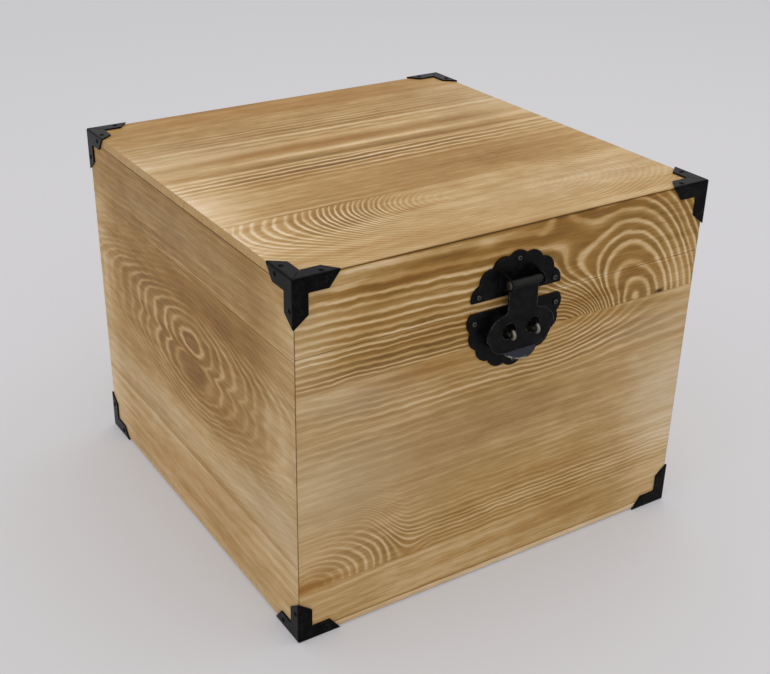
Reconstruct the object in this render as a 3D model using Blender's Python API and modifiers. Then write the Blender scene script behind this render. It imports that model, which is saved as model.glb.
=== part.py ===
"""A wooden trunk with a hinged lid, corner brackets and a hasp lock on its front.

Lengths are in metres and +Z is up. The front faces -Y. The origin is on the floor, in the middle of
the whole footprint, which reaches from the hasp's eyes at the front to the hinge barrels at the back.
"""
import math

import bmesh
import bpy
from mathutils import Matrix, Vector

# Wooden box
BOX_WIDTH = 0.298
BOX_DEPTH = 0.298
BASE_HEIGHT = 0.193
LID_HEIGHT = 0.047
WALL_THICKNESS = 0.009
BOTTOM_THICKNESS = 0.004
TOP_THICKNESS = 0.006
EASED_EDGE = 0.0006

# Clearances
SEAT_GAP = 0.0003  # between two pieces that rest on each other
HEAD_GAP = 0.0001  # under the head of a tack, nail, screw or pin
HOLE_GAP = 0.00015  # around a shank in its hole, and past its tip
RUNNING_GAP = 0.00015  # around a pin, in what turns on it
SIDE_GAP = 0.0004  # beside a piece that turns between two others
OVERRUN = 0.001  # how far a cutter reaches past what it cuts
WELD = 0.000001  # distance at which doubled points are one

# Corner brackets, bent from sheet
BRACKET_SHEET = 0.001
BRACKET_ARM = 0.030  # corner to tip, along the box's edge
BRACKET_INNER_ARM = 0.0225  # corner to the end of the arm's inner side
BRACKET_ARM_WIDTH = 0.0097
BRACKET_BEND = 0.0012
BRACKET_SLIT = 0.0004  # where the sheet's two ends meet on the flat face
TACK_ALONG = 0.020
TACK_INSET = 0.0042
TACK_HEAD_RADIUS = 0.0019
TACK_HEAD_HEIGHT = 0.0007
TACK_RADIUS = 0.0005
TACK_LENGTH = 0.0028
TACK_SIDES = 10

# Hasp plates: a scalloped round outline, cut in two by the lid's seam
PLATE_SHEET = 0.001
ROSETTE_RADIUS = 0.0353  # over the petals
ROSETTE_NOTCH_RADIUS = 0.033  # between the petals
PETALS = 16
UPPER_PLATE_CUT = 0.008  # from the upper plate's centre up to its straight edge
UPPER_PLATE_RISE = 0.0053  # from the lid's lower edge up to that straight edge
LOWER_PLATE_CUT = 0.006  # from the lower plate's centre up to its straight edge
LOWER_PLATE_DROP = 0.0013  # from the base's upper edge down to that straight edge
NAIL_CIRCLE_RADIUS = 0.0305
NAIL_HEAD_RADIUS = 0.0023
NAIL_HEAD_HEIGHT = 0.0011
NAIL_RADIUS = 0.0007
NAIL_LENGTH = 0.0065
NAIL_SIDES = 12

# Hasp pin and the ears that hold it
HASP_AXIS_OUT = 0.008  # from the plate's face to the pin's axis
HASP_AXIS_RISE = 0.0104  # from the upper plate's straight edge to the pin's axis
HASP_PIN_RADIUS = 0.0012
HASP_PIN_HEAD_RADIUS = 0.0021
HASP_PIN_HEAD_HEIGHT = 0.0008
EAR_SHEET = 0.0012
EAR_ROOT_HEIGHT = 0.012
EAR_TIP_RADIUS = 0.0036

# Hasp flap, measured down from the pin's axis
FLAP_SHEET = 0.0012
NECK_HALF_WIDTH = 0.0108
NECK_FILLET = 0.003
LOBE_RADIUS = 0.0135
LOBE_OFFSET = 0.0115  # sideways, from the middle to a lobe's centre
LOBE_DROP = 0.0333
LOBE_STEP = 0.0018  # how far the lobe's outline steps in below its tip
LOBE_TIP_ANGLE = math.radians(-5)
LOBE_STEP_ANGLE = math.radians(-14)
LIP_HALF_WIDTH = 0.0124
LIP_LENGTH = 0.006
LIP_BEND = math.radians(42)
EYE_HOLE_RADIUS = 0.0052

# Eyes on the lower plate
EYE_OFFSET = 0.009  # sideways, from the middle
EYE_HOLE_LIFT = 0.001  # the flap's holes sit this far above the eyes' middle
EYE_DROP = 0.0085  # from the lower plate's centre down to the eyes' middle
EYE_OUT = 0.0093  # from the plate's face to the middle of the ring
EYE_RING_RADIUS = 0.0025
EYE_WIRE_RADIUS = 0.0011
EYE_COLLAR_RADIUS = 0.003
EYE_COLLAR_HEIGHT = 0.0012
EYE_STEM_RADIUS = 0.0019
EYE_NECK_RADIUS = 0.0013
EYE_SPIGOT_RADIUS = 0.0013

# Butt hinges on the back
HINGE_SPACING = 0.150
HINGE_LENGTH = 0.030
HINGE_SHEET = 0.001
HINGE_LEAF_WIDTH = 0.014  # from the pin's axis to the leaf's far edge
HINGE_LEAF_CORNER = 0.002
HINGE_PIN_RADIUS = 0.001
HINGE_PIN_HEAD_RADIUS = 0.0017
HINGE_PIN_HEAD_HEIGHT = 0.0006
HINGE_MIDDLE_KNUCKLE = 0.010
SCREW_OFFSET = 0.009  # sideways, from the hinge's middle
SCREW_DROP = 0.0088  # from the pin's axis
SCREW_HEAD_RADIUS = 0.0021
SCREW_HEAD_HEIGHT = 0.0009
SCREW_RADIUS = 0.0008
SCREW_LENGTH = 0.0065

# Shares that shape the fasteners
DIMPLE_RADIUS_SHARE = 0.36  # of the head's radius
DIMPLE_DEPTH_SHARE = 0.4  # of the head's height
POINT_LENGTH_SHARE = 0.3  # of the shank's length
TACK_BITE_SHARE = 0.1  # of the bracket's sheet, that a tack's head is driven into it

# Fineness of round shapes, in pieces
ARC_STEPS = 6
TURN_STEPS = 16
BEND_STEPS = 3
EASED_STEPS = 2
SHADE_ANGLE = math.radians(35)

# Heights, from the floor up
BOX_BOTTOM = BRACKET_SHEET + SEAT_GAP
WALLS_BOTTOM = BOX_BOTTOM + BOTTOM_THICKNESS + SEAT_GAP
BASE_TOP = BOX_BOTTOM + BASE_HEIGHT
LID_BOTTOM = BASE_TOP + SEAT_GAP
LID_TOP = LID_BOTTOM + LID_HEIGHT
RAILS_TOP = LID_TOP - TOP_THICKNESS - SEAT_GAP
MITRE_SET_BACK = SEAT_GAP / math.sqrt(2)  # from a mitre's middle line to each piece, along a side
BRACKET_OUTSIDE = SEAT_GAP + BRACKET_SHEET  # how far a bracket's face stands off the wood
PLATE_OUTSIDE = SEAT_GAP + PLATE_SHEET

# Hinge axis, relative to the box's back face and the seam
KNUCKLE_RADIUS = HINGE_PIN_RADIUS + RUNNING_GAP + HINGE_SHEET
HINGE_AXIS_OUT = SEAT_GAP + KNUCKLE_RADIUS

# The box stands behind the origin by half of what the front reaches out further than the back
EYE_REACH = PLATE_OUTSIDE + EYE_OUT + EYE_RING_RADIUS + EYE_WIRE_RADIUS
EAR_REACH = PLATE_OUTSIDE + HASP_AXIS_OUT + EAR_TIP_RADIUS
BACK_REACH = HINGE_AXIS_OUT + KNUCKLE_RADIUS
BOX_Y = (max(EYE_REACH, EAR_REACH) - BACK_REACH) / 2
FRONT_FACE = BOX_Y - BOX_DEPTH / 2
BACK_FACE = BOX_Y + BOX_DEPTH / 2

# Places of the two joint axes
LID_AXIS = Vector((0, BACK_FACE + HINGE_AXIS_OUT, (BASE_TOP + LID_BOTTOM) / 2))
PLATE_FACE = FRONT_FACE - PLATE_OUTSIDE
UPPER_PLATE_EDGE = LID_BOTTOM + UPPER_PLATE_RISE
LOWER_PLATE_EDGE = BASE_TOP - LOWER_PLATE_DROP
UPPER_PLATE_CENTRE = UPPER_PLATE_EDGE - UPPER_PLATE_CUT
LOWER_PLATE_CENTRE = LOWER_PLATE_EDGE - LOWER_PLATE_CUT
HASP_AXIS = Vector((0, PLATE_FACE - HASP_AXIS_OUT, UPPER_PLATE_EDGE + HASP_AXIS_RISE))
EYE_HEIGHT = LOWER_PLATE_CENTRE - EYE_DROP
EYE_HOLE_BELOW_AXIS = HASP_AXIS.z - EYE_HEIGHT - EYE_HOLE_LIFT
CURL_RADIUS = HASP_PIN_RADIUS + RUNNING_GAP + FLAP_SHEET
EAR_INSIDE = NECK_HALF_WIDTH + SIDE_GAP

# Turns a flat piece drawn in X and Y so that it stands upright and faces the front
STANDING = Matrix.Rotation(math.radians(90), 4, "X")
# The same for the back
STANDING_BACK = Matrix.Rotation(math.radians(180), 4, "Z") @ STANDING
# Stands a side view up: its X points to the front and its Y points up
SIDEWAYS = Matrix(((0, 0, -1, 0), (-1, 0, 0, 0), (0, 1, 0, 0), (0, 0, 0, 1)))
# Stands a side view up across the box: its X points to the back and its Y points up
END_ON = Matrix(((0, 0, 1, 0), (1, 0, 0, 0), (0, 1, 0, 0), (0, 0, 0, 1)))
# Lays a turned piece's axis along X
ALONG_X = Matrix.Rotation(math.radians(90), 4, "Y")
# Points a fastener's head out of a bracket's face
HEAD_OUT = Matrix.Rotation(math.radians(180), 4, "X")


def clear_scene():
    for old in list(bpy.data.objects):
        bpy.data.objects.remove(old, do_unlink=True)


def new_collection(name):
    collection = bpy.data.collections.new(name)
    bpy.context.scene.collection.children.link(collection)
    return collection


clear_scene()
PARTS = new_collection("trunk")
CUTTERS = new_collection("cutters")


def new_material(name, colour, roughness, metallic):
    material = bpy.data.materials.new(name)
    material.use_nodes = True
    shader = material.node_tree.nodes["Principled BSDF"]
    shader.inputs["Base Color"].default_value = (*colour, 1.0)
    shader.inputs["Roughness"].default_value = roughness
    shader.inputs["Metallic"].default_value = metallic
    material.diffuse_color = (*colour, 1.0)
    return material


def toasted_wood():
    return new_material("toasted_wood", (0.53, 0.34, 0.14), 0.55, 0.0)


def pale_panel_wood():
    return new_material("pale_panel_wood", (0.60, 0.48, 0.30), 0.6, 0.0)


def black_sheet():
    return new_material("black_sheet", (0.022, 0.022, 0.024), 0.45, 0.6)


def dark_bronze():
    return new_material("dark_bronze", (0.10, 0.085, 0.07), 0.4, 0.8)


WOOD = toasted_wood()
PANEL_WOOD = pale_panel_wood()
BLACK = black_sheet()
BRONZE = dark_bronze()


def add_piece(name, mesh, material, parent, place=Matrix()):
    """A node of the trunk at a place in the world, carried by its body's empty."""
    piece = bpy.data.objects.new(name, mesh)
    PARTS.objects.link(piece)
    if not mesh.materials:
        mesh.materials.append(material)
    piece.matrix_basis = place
    hang(piece, parent)
    return piece


def hang(child, parent):
    """Parents the child and keeps its place in the world."""
    child.parent = parent
    child.matrix_parent_inverse = Matrix.Translation(-parent.location)


def add_cutter(name, mesh, place=Matrix()):
    cutter = bpy.data.objects.new(name, mesh)
    CUTTERS.objects.link(cutter)
    cutter.matrix_basis = place
    cutter.display_type = "WIRE"
    cutter.hide_render = True
    return cutter


def combine(piece, operation, other):
    modifier = piece.modifiers.new(f"{operation.lower()} {other.name}", "BOOLEAN")
    modifier.operation = operation
    modifier.object = other


def ease(piece, width, steps, wanted):
    """Rounds the edges whose two ends make wanted(a, b) true."""
    bm = bmesh.new()
    bm.from_mesh(piece.data)
    weight = bm.edges.layers.float.new("bevel_weight_edge")
    for edge in bm.edges:
        if wanted(edge.verts[0].co, edge.verts[1].co):
            edge[weight] = 1.0
    bm.to_mesh(piece.data)
    bm.free()
    modifier = piece.modifiers.new("eased edges", "BEVEL")
    modifier.limit_method = "WEIGHT"
    modifier.width = width
    modifier.segments = steps


def settled_mesh(piece):
    """The piece's mesh with its modifiers applied, shaded smooth except at its edges."""
    graph = bpy.context.evaluated_depsgraph_get()
    mesh = bpy.data.meshes.new_from_object(piece.evaluated_get(graph))
    mesh.shade_smooth()
    mesh.set_sharp_from_angle(angle=SHADE_ANGLE)
    return mesh


def settle(piece):
    piece.data = settled_mesh(piece)
    piece.modifiers.clear()


def mesh_from(bm, name):
    mesh = bpy.data.meshes.new(name)
    bm.to_mesh(mesh)
    bm.free()
    return mesh


def block(name, low, high):
    """A box between two opposite corners."""
    low = Vector(low)
    high = Vector(high)
    bm = bmesh.new()
    place = Matrix.Translation((low + high) / 2) @ Matrix.Diagonal((high - low).to_4d())
    bmesh.ops.create_cube(bm, size=1, matrix=place)
    return mesh_from(bm, name)


def rod(name, radius, bottom, top, places, sides=TURN_STEPS):
    """Cylinders from bottom to top on the local Z axis, one at each place."""
    bm = bmesh.new()
    middle = Matrix.Translation((0, 0, (bottom + top) / 2))
    for place in places:
        bmesh.ops.create_cone(bm, cap_ends=True, segments=sides, radius1=radius, radius2=radius,
                              depth=top - bottom, matrix=place @ middle)
    return mesh_from(bm, name)


def flat_piece(name, outlines, thickness):
    """A sheet drawn in X and Y and centred on Z; every outline after the first is a hole."""
    curve = bpy.data.curves.new(name, "CURVE")
    curve.dimensions = "2D"
    curve.fill_mode = "BOTH"
    curve.extrude = thickness / 2
    for outline in outlines:
        spline = curve.splines.new("POLY")
        spline.points.add(len(outline) - 1)
        for point, (x, y) in zip(spline.points, outline):
            point.co = (x, y, 0, 1)
        spline.use_cyclic_u = True
    drawing = bpy.data.objects.new(name, curve)
    CUTTERS.objects.link(drawing)
    graph = bpy.context.evaluated_depsgraph_get()
    mesh = bpy.data.meshes.new_from_object(drawing.evaluated_get(graph))
    bpy.data.objects.remove(drawing)
    bm = bmesh.new()
    bm.from_mesh(mesh)
    bmesh.ops.remove_doubles(bm, verts=bm.verts, dist=WELD)
    bmesh.ops.recalc_face_normals(bm, faces=bm.faces)
    bmesh.ops.dissolve_limit(bm, angle_limit=WELD, verts=bm.verts, edges=bm.edges)
    bm.to_mesh(mesh)
    bm.free()
    return mesh


def turned(name, profile, sides):
    """Turns a profile of (radius, height) points, listed from top to bottom, round the Z axis."""
    mesh = bpy.data.meshes.new(name)
    points = [(radius, 0, height) for radius, height in profile]
    mesh.from_pydata(points, [(i, i + 1) for i in range(len(points) - 1)], [])
    profile_piece = bpy.data.objects.new(name, mesh)
    CUTTERS.objects.link(profile_piece)
    modifier = profile_piece.modifiers.new("turn", "SCREW")
    modifier.steps = sides
    modifier.render_steps = sides
    modifier.use_merge_vertices = True
    modifier.merge_threshold = WELD
    mesh = settled_mesh(profile_piece)
    bpy.data.objects.remove(profile_piece)
    return mesh


def arc(centre, radius, start, end, steps=ARC_STEPS):
    """Points on an arc, both ends included."""
    points = []
    for i in range(steps + 1):
        angle = start + (end - start) * i / steps
        points.append((centre[0] + radius * math.cos(angle), centre[1] + radius * math.sin(angle)))
    return points


def circle(centre, radius, sides=TURN_STEPS):
    return arc(centre, radius, 0, math.tau, sides)[:-1]


def domed_fastener(name, head_radius, head_height, shank_radius, length, sides):
    """A round head with a small dimple, on a pointed shank that hangs down from Z = 0."""
    rim = head_radius * DIMPLE_RADIUS_SHARE
    dome = []
    for i in range(BEND_STEPS):
        angle = math.pi / 2 * i / BEND_STEPS
        dome.append((rim + (head_radius - rim) * math.sin(angle), head_height * math.cos(angle)))
    return turned(name, [
        (0, head_height * (1 - DIMPLE_DEPTH_SHARE)),
        *dome,
        (head_radius, 0),
        (shank_radius, 0),
        (shank_radius, length * (POINT_LENGTH_SHARE - 1)),
        (0, -length),
    ], sides)


def headed_pin(name, radius, half_length, head_radius, head_height, sides):
    """A pin on the Z axis with a domed head at each end."""
    dome = []
    for i in range(BEND_STEPS):
        angle = math.pi / 2 * i / BEND_STEPS
        dome.append((head_radius * math.sin(angle), half_length + head_height * math.cos(angle)))
    upper = [*dome, (head_radius, half_length), (radius, half_length)]
    lower = [(r, -height) for r, height in reversed(upper)]
    return turned(name, upper + lower, sides)


def shank_holes(name, shank_radius, length, places, sides):
    """Holes for fasteners whose heads sit at the places, from outside the sheet to past the tips."""
    bottom = -length - HOLE_GAP
    return add_cutter(name, rod(name, shank_radius + HOLE_GAP, bottom, OVERRUN, places, sides))


def body_empties():
    """One empty for each body; the moving ones lie on their joint's axis."""
    base = bpy.data.objects.new("base_body", None)
    lid = bpy.data.objects.new("lid_body", None)
    hasp = bpy.data.objects.new("hasp_body", None)
    for empty in (base, lid, hasp):
        empty.empty_display_size = KNUCKLE_RADIUS
        PARTS.objects.link(empty)
    lid.location = LID_AXIS
    hasp.location = HASP_AXIS
    hang(lid, base)
    hang(hasp, lid)
    return base, lid, hasp


BASE, LID, HASP = body_empties()


# Places of the tacks, nails and screws, each with its +Z out of the wood

def bracket_place(right, back, top):
    """A bracket's frame: its origin is the outer corner, and its three arms run inwards along +X, +Y, +Z."""
    corner = Vector((
        (1 if right else -1) * (BOX_WIDTH / 2 + BRACKET_OUTSIDE),
        BOX_Y + (1 if back else -1) * (BOX_DEPTH / 2 + BRACKET_OUTSIDE),
        LID_TOP + BRACKET_OUTSIDE if top else 0,
    ))
    inward_x = Vector((-1 if right else 1, 0, 0))
    inward_y = Vector((0, -1 if back else 1, 0))
    inward_z = Vector((0, 0, -1 if top else 1))
    if inward_x.cross(inward_y).dot(inward_z) < 0:
        inward_x, inward_y = inward_y, inward_x
    turn = Matrix((inward_x, inward_y, inward_z)).transposed().to_4x4()
    return Matrix.Translation(corner) @ turn


def face_turn(face):
    """Takes a bracket's face 0, the one square to its arm along +Z, to face 1 or 2."""
    return Matrix.Rotation(face * math.radians(120), 4, Vector((1, 1, 1)))


def face_places(face):
    """The two holes in one face of a bracket."""
    spots = ((TACK_ALONG, TACK_INSET), (TACK_INSET, TACK_ALONG))
    return [face_turn(face) @ Matrix.Translation((x, y, 0)) @ HEAD_OUT for x, y in spots]


def tacked_faces(top):
    """Every face of an upper bracket is tacked; the face that stands on the floor is not."""
    return (0, 1, 2) if top else (1, 2)


def tack_spots(faces):
    """Tacks in a bracket's own frame, with their heads driven a little into the sheet."""
    bite = Matrix.Translation((0, 0, -TACK_BITE_SHARE * BRACKET_SHEET))
    return [hole @ bite for face in faces for hole in face_places(face)]


def nail_places(centre_height, angles):
    lift = Matrix.Translation((0, 0, HEAD_GAP))
    places = []
    for angle in angles:
        x = NAIL_CIRCLE_RADIUS * math.cos(angle)
        z = centre_height + NAIL_CIRCLE_RADIUS * math.sin(angle)
        places.append(Matrix.Translation((x, PLATE_FACE, z)) @ STANDING @ lift)
    return places


def hinge_place(hinge):
    return Matrix.Translation(LID_AXIS + Vector((HINGES[hinge], 0, 0)))


def screw_places(hinge_x, side):
    """The two screws of a leaf; side is 1 for the lid's leaf and -1 for the base's."""
    lift = Matrix.Translation((0, 0, HEAD_GAP))
    face = BACK_FACE + SEAT_GAP + HINGE_SHEET
    height = LID_AXIS.z + side * SCREW_DROP
    xs = (hinge_x - SCREW_OFFSET, hinge_x + SCREW_OFFSET)
    return [Matrix.Translation((x, face, height)) @ STANDING_BACK @ lift for x in xs]


PETAL_ANGLE = math.tau / PETALS
UPPER_NAIL_ANGLES = (PETAL_ANGLE, math.pi / 2, math.pi - PETAL_ANGLE)
LOWER_NAIL_ANGLES = (0, -math.pi / 2, math.pi)
CORNERS = {
    "front_left": (False, False),
    "front_right": (True, False),
    "back_left": (False, True),
    "back_right": (True, True),
}
HINGES = {"left": -HINGE_SPACING / 2, "right": HINGE_SPACING / 2}


def all_tack_places(top):
    spots = tack_spots(tacked_faces(top))
    return [bracket_place(*ends, top) @ spot for ends in CORNERS.values() for spot in spots]


def all_screw_places(side):
    return [place for x in HINGES.values() for place in screw_places(x, side)]


def body_holes(body, top, centre_height, nail_angles, side):
    """Every fastener hole of one body, as three cutters."""
    return [
        shank_holes(f"{body}_tack_holes", TACK_RADIUS, TACK_LENGTH, all_tack_places(top), TACK_SIDES),
        shank_holes(f"{body}_nail_holes", NAIL_RADIUS, NAIL_LENGTH,
                    nail_places(centre_height, nail_angles), NAIL_SIDES),
        shank_holes(f"{body}_screw_holes", SCREW_RADIUS, SCREW_LENGTH, all_screw_places(side), NAIL_SIDES),
    ]


BASE_TACK_HOLES, BASE_NAIL_HOLES, BASE_SCREW_HOLES = body_holes(
    "base", False, LOWER_PLATE_CENTRE, LOWER_NAIL_ANGLES, -1)
LID_TACK_HOLES, LID_NAIL_HOLES, LID_SCREW_HOLES = body_holes(
    "lid", True, UPPER_PLATE_CENTRE, UPPER_NAIL_ANGLES, 1)


# Wooden pieces

SIDES = ("front", "right", "back", "left")


def board_outline(length):
    """A board seen from above: its outer side lies on Y = 0, and both ends are mitred."""
    outer = length / 2 - MITRE_SET_BACK
    inner = outer - WALL_THICKNESS
    return [(-outer, 0), (outer, 0), (inner, WALL_THICKNESS), (-inner, WALL_THICKNESS)]


def add_board(name, side, bottom, top, parent):
    """One board of a frame round the box, standing on its long edge."""
    turn = SIDES.index(side)
    length, across = (BOX_DEPTH, BOX_WIDTH) if turn % 2 else (BOX_WIDTH, BOX_DEPTH)
    place = (
        Matrix.Translation((0, BOX_Y, (bottom + top) / 2))
        @ Matrix.Rotation(turn * math.pi / 2, 4, "Z")
        @ Matrix.Translation((0, -across / 2, 0))
    )
    return add_piece(name, flat_piece(name, [board_outline(length)], top - bottom), WOOD, parent, place)


def ease_board(board, height):
    """Rounds the two long edges of a board that lie at a height from its middle."""
    ease(board, EASED_EDGE, EASED_STEPS, lambda a, b: (
        abs(a.z - height) < WELD and abs(b.z - height) < WELD and abs(a.y - b.y) < WELD))


def base_walls():
    for side in SIDES:
        board = add_board(f"base_{side}_wall", side, WALLS_BOTTOM, BASE_TOP, BASE)
        ease_board(board, (BASE_TOP - WALLS_BOTTOM) / 2)
        combine(board, "DIFFERENCE", BASE_TACK_HOLES)
        if side == "front":
            combine(board, "DIFFERENCE", BASE_NAIL_HOLES)
        if side == "back":
            combine(board, "DIFFERENCE", BASE_SCREW_HOLES)
        settle(board)


def base_bottom_panel():
    low = (-BOX_WIDTH / 2, FRONT_FACE, BOX_BOTTOM)
    high = (BOX_WIDTH / 2, BACK_FACE, BOX_BOTTOM + BOTTOM_THICKNESS)
    mesh = block("base_bottom_panel", low, high)
    board = add_piece("base_bottom_panel", mesh, PANEL_WOOD, BASE)
    ease(board, EASED_EDGE, EASED_STEPS, lambda a, b: max(a.z, b.z) < BOX_BOTTOM + WELD)
    combine(board, "DIFFERENCE", BASE_TACK_HOLES)
    settle(board)


def trapezium(name, half_length, half_depth, bottom, top):
    """A slab along X whose front and back sides lean in at 45 degrees from its top down."""
    low = half_depth - (top - bottom)
    side_view = [(-low, bottom), (low, bottom), (half_depth, top), (-half_depth, top)]
    mesh = flat_piece(name, [side_view], 2 * half_length)
    mesh.transform(Matrix.Translation((0, BOX_Y, 0)) @ END_ON)
    return mesh


def lid_top_panel():
    """It lies on the side rails, and is mitred into the front and back rails along the upper arris."""
    mesh = trapezium("lid_top_panel", BOX_WIDTH / 2, BOX_DEPTH / 2 - MITRE_SET_BACK,
                     LID_TOP - TOP_THICKNESS, LID_TOP)
    board = add_piece("lid_top_panel", mesh, WOOD, LID)
    ease(board, EASED_EDGE, EASED_STEPS, lambda a, b: (
        min(a.z, b.z) > LID_TOP - WELD and abs(a.x - b.x) < WELD))
    combine(board, "DIFFERENCE", LID_TACK_HOLES)
    settle(board)


def lid_rails():
    """The front and back rails rise to the arris outside the panel's seat; the side rails stop under it."""
    seat = trapezium("panel_seat", BOX_WIDTH / 2 + OVERRUN, BOX_DEPTH / 2 + MITRE_SET_BACK + OVERRUN,
                     RAILS_TOP, LID_TOP + OVERRUN)
    seat = add_cutter("panel_seat", seat)
    for side in SIDES:
        mitred = side in ("front", "back")
        top = LID_TOP if mitred else RAILS_TOP
        board = add_board(f"lid_{side}_rail", side, LID_BOTTOM, top, LID)
        ease_board(board, (LID_BOTTOM - top) / 2)
        if mitred:
            combine(board, "DIFFERENCE", seat)
        combine(board, "DIFFERENCE", LID_TACK_HOLES)
        if side == "front":
            combine(board, "DIFFERENCE", LID_NAIL_HOLES)
        if side == "back":
            combine(board, "DIFFERENCE", LID_SCREW_HOLES)
        settle(board)


# Corner brackets

def bracket_waste_outline():
    """What is cut from one square face to leave two arms with slanted ends."""
    slope = (BRACKET_ARM - BRACKET_INNER_ARM) / BRACKET_ARM_WIDTH
    tip = BRACKET_ARM + slope * OVERRUN
    far = tip + OVERRUN
    half = [(BRACKET_INNER_ARM, BRACKET_ARM_WIDTH), (tip, -OVERRUN), (far, -OVERRUN)]
    other_half = [(y, x) for x, y in reversed(half)]
    return [(BRACKET_ARM_WIDTH, BRACKET_ARM_WIDTH), *half, (far, far), *other_half]


def bracket_slit():
    """The slit from near the corner to the inner angle, where the sheet's two ends meet."""
    start = BRACKET_BEND * math.sqrt(2)
    end = (BRACKET_ARM_WIDTH + OVERRUN) * math.sqrt(2)
    mesh = block("bracket_slit", (start, -BRACKET_SLIT / 2, -OVERRUN),
                 (end, BRACKET_SLIT / 2, BRACKET_SHEET + OVERRUN))
    return add_cutter("bracket_slit", mesh, Matrix.Rotation(math.pi / 4, 4, "Z"))


def bracket_mesh(name, tack, tacked):
    """Three faces round a cube's corner, bent from sheet, with two tacks or open holes in each."""
    cube = add_cutter(name, block(name, (0, 0, 0), (BRACKET_ARM,) * 3))
    ease(cube, BRACKET_BEND, BEND_STEPS, lambda a, b: min(a.length, b.length) < WELD)
    inside = block("bracket_inside", (BRACKET_SHEET,) * 3, (BRACKET_ARM + OVERRUN,) * 3)
    combine(cube, "DIFFERENCE", add_cutter("bracket_inside", inside))
    depth = BRACKET_SHEET + 2 * OVERRUN
    waste = flat_piece("bracket_waste", [bracket_waste_outline()], depth)
    waste.transform(Matrix.Translation((0, 0, BRACKET_SHEET / 2)))
    for face in range(3):
        combine(cube, "DIFFERENCE", add_cutter("bracket_waste", waste, face_turn(face)))
    combine(cube, "DIFFERENCE", bracket_slit())
    for face in set(range(3)) - set(tacked):
        holes = rod("open_holes", TACK_RADIUS + HOLE_GAP, -BRACKET_SHEET - OVERRUN, OVERRUN,
                    face_places(face), TACK_SIDES)
        combine(cube, "DIFFERENCE", add_cutter("open_holes", holes))
    for spot in tack_spots(tacked):
        combine(cube, "UNION", add_cutter("bracket_tack", tack, spot))
    return settled_mesh(cube)


def corner_brackets():
    """Four brackets on the base and four on the lid, each one solid with the tacks driven through it."""
    tack = domed_fastener("tack", TACK_HEAD_RADIUS, TACK_HEAD_HEIGHT, TACK_RADIUS, TACK_LENGTH, TACK_SIDES)
    for level, top, parent in (("lower", False, BASE), ("upper", True, LID)):
        mesh = bracket_mesh(f"{level}_bracket", tack, tacked_faces(top))
        for corner, ends in CORNERS.items():
            add_piece(f"bracket_{level}_{corner}", mesh, BLACK, parent, bracket_place(*ends, top))


# Hasp

def rosette_outline():
    """Petals round a circle: each is an arc that meets the next one in a notch."""
    half_angle = PETAL_ANGLE / 2
    notch_x = ROSETTE_NOTCH_RADIUS * math.cos(half_angle)
    notch_y = ROSETTE_NOTCH_RADIUS * math.sin(half_angle)
    spread = ROSETTE_RADIUS ** 2 - ROSETTE_NOTCH_RADIUS ** 2
    petal_centre = spread / (2 * (ROSETTE_RADIUS - notch_x))
    petal_radius = ROSETTE_RADIUS - petal_centre
    reach = math.atan2(notch_y, notch_x - petal_centre)
    outline = []
    for petal in range(PETALS):
        turn = petal * PETAL_ANGLE
        centre = (petal_centre * math.cos(turn), petal_centre * math.sin(turn))
        outline += arc(centre, petal_radius, turn - reach, turn + reach)[:-1]
    return outline


def plate_place(height):
    return Matrix.Translation((0, PLATE_FACE + PLATE_SHEET / 2, height)) @ STANDING


def straight_cut(name, low, high):
    """A cutter across the whole plate, between two heights from the rosette's centre."""
    reach = ROSETTE_RADIUS + OVERRUN
    return block(name, (-reach, low, -PLATE_SHEET), (reach, high, PLATE_SHEET))


def ear_outline():
    """An ear from the side: X runs out from the plate's face, and the tip is round the pin's axis."""
    half_root = EAR_ROOT_HEIGHT / 2
    root = -PLATE_SHEET / 2
    distance = math.hypot(HASP_AXIS_OUT - root, half_root)
    to_root = math.atan2(half_root, root - HASP_AXIS_OUT)
    touch = to_root - math.acos(EAR_TIP_RADIUS / distance)
    tip = arc((HASP_AXIS_OUT, 0), EAR_TIP_RADIUS, -touch, touch, 2 * ARC_STEPS)
    return [(root, -half_root), *tip, (root, half_root)]


def ear(side):
    mesh = flat_piece(f"ear_{side}", [ear_outline()], EAR_SHEET)
    x = side * (EAR_INSIDE + EAR_SHEET / 2)
    return add_cutter(f"ear_{side}", mesh, Matrix.Translation((x, PLATE_FACE, HASP_AXIS.z)) @ SIDEWAYS)


def pin_bore(name, half_length):
    place = Matrix.Translation(HASP_AXIS) @ ALONG_X
    radius = HASP_PIN_RADIUS + RUNNING_GAP
    return add_cutter(name, rod(name, radius, -half_length, half_length, [place]))


def upper_plate():
    """The lid's plate: the top of the rosette, with two ears for the flap's pin."""
    mesh = flat_piece("hasp_upper_plate", [rosette_outline()], PLATE_SHEET)
    place = plate_place(UPPER_PLATE_CENTRE)
    plate = add_piece("hasp_upper_plate", mesh, BLACK, LID, place)
    waste = straight_cut("upper_plate_waste", -ROSETTE_RADIUS - OVERRUN, UPPER_PLATE_CUT)
    combine(plate, "DIFFERENCE", add_cutter("upper_plate_waste", waste, place))
    for side in (-1, 1):
        combine(plate, "UNION", ear(side))
    combine(plate, "DIFFERENCE", pin_bore("ear_bore", EAR_INSIDE + EAR_SHEET + OVERRUN))
    combine(plate, "DIFFERENCE", LID_NAIL_HOLES)
    settle(plate)


def eye_places():
    spots = (-EYE_OFFSET, EYE_OFFSET)
    return [Matrix.Translation((x, PLATE_FACE, EYE_HEIGHT)) @ STANDING for x in spots]


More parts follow.
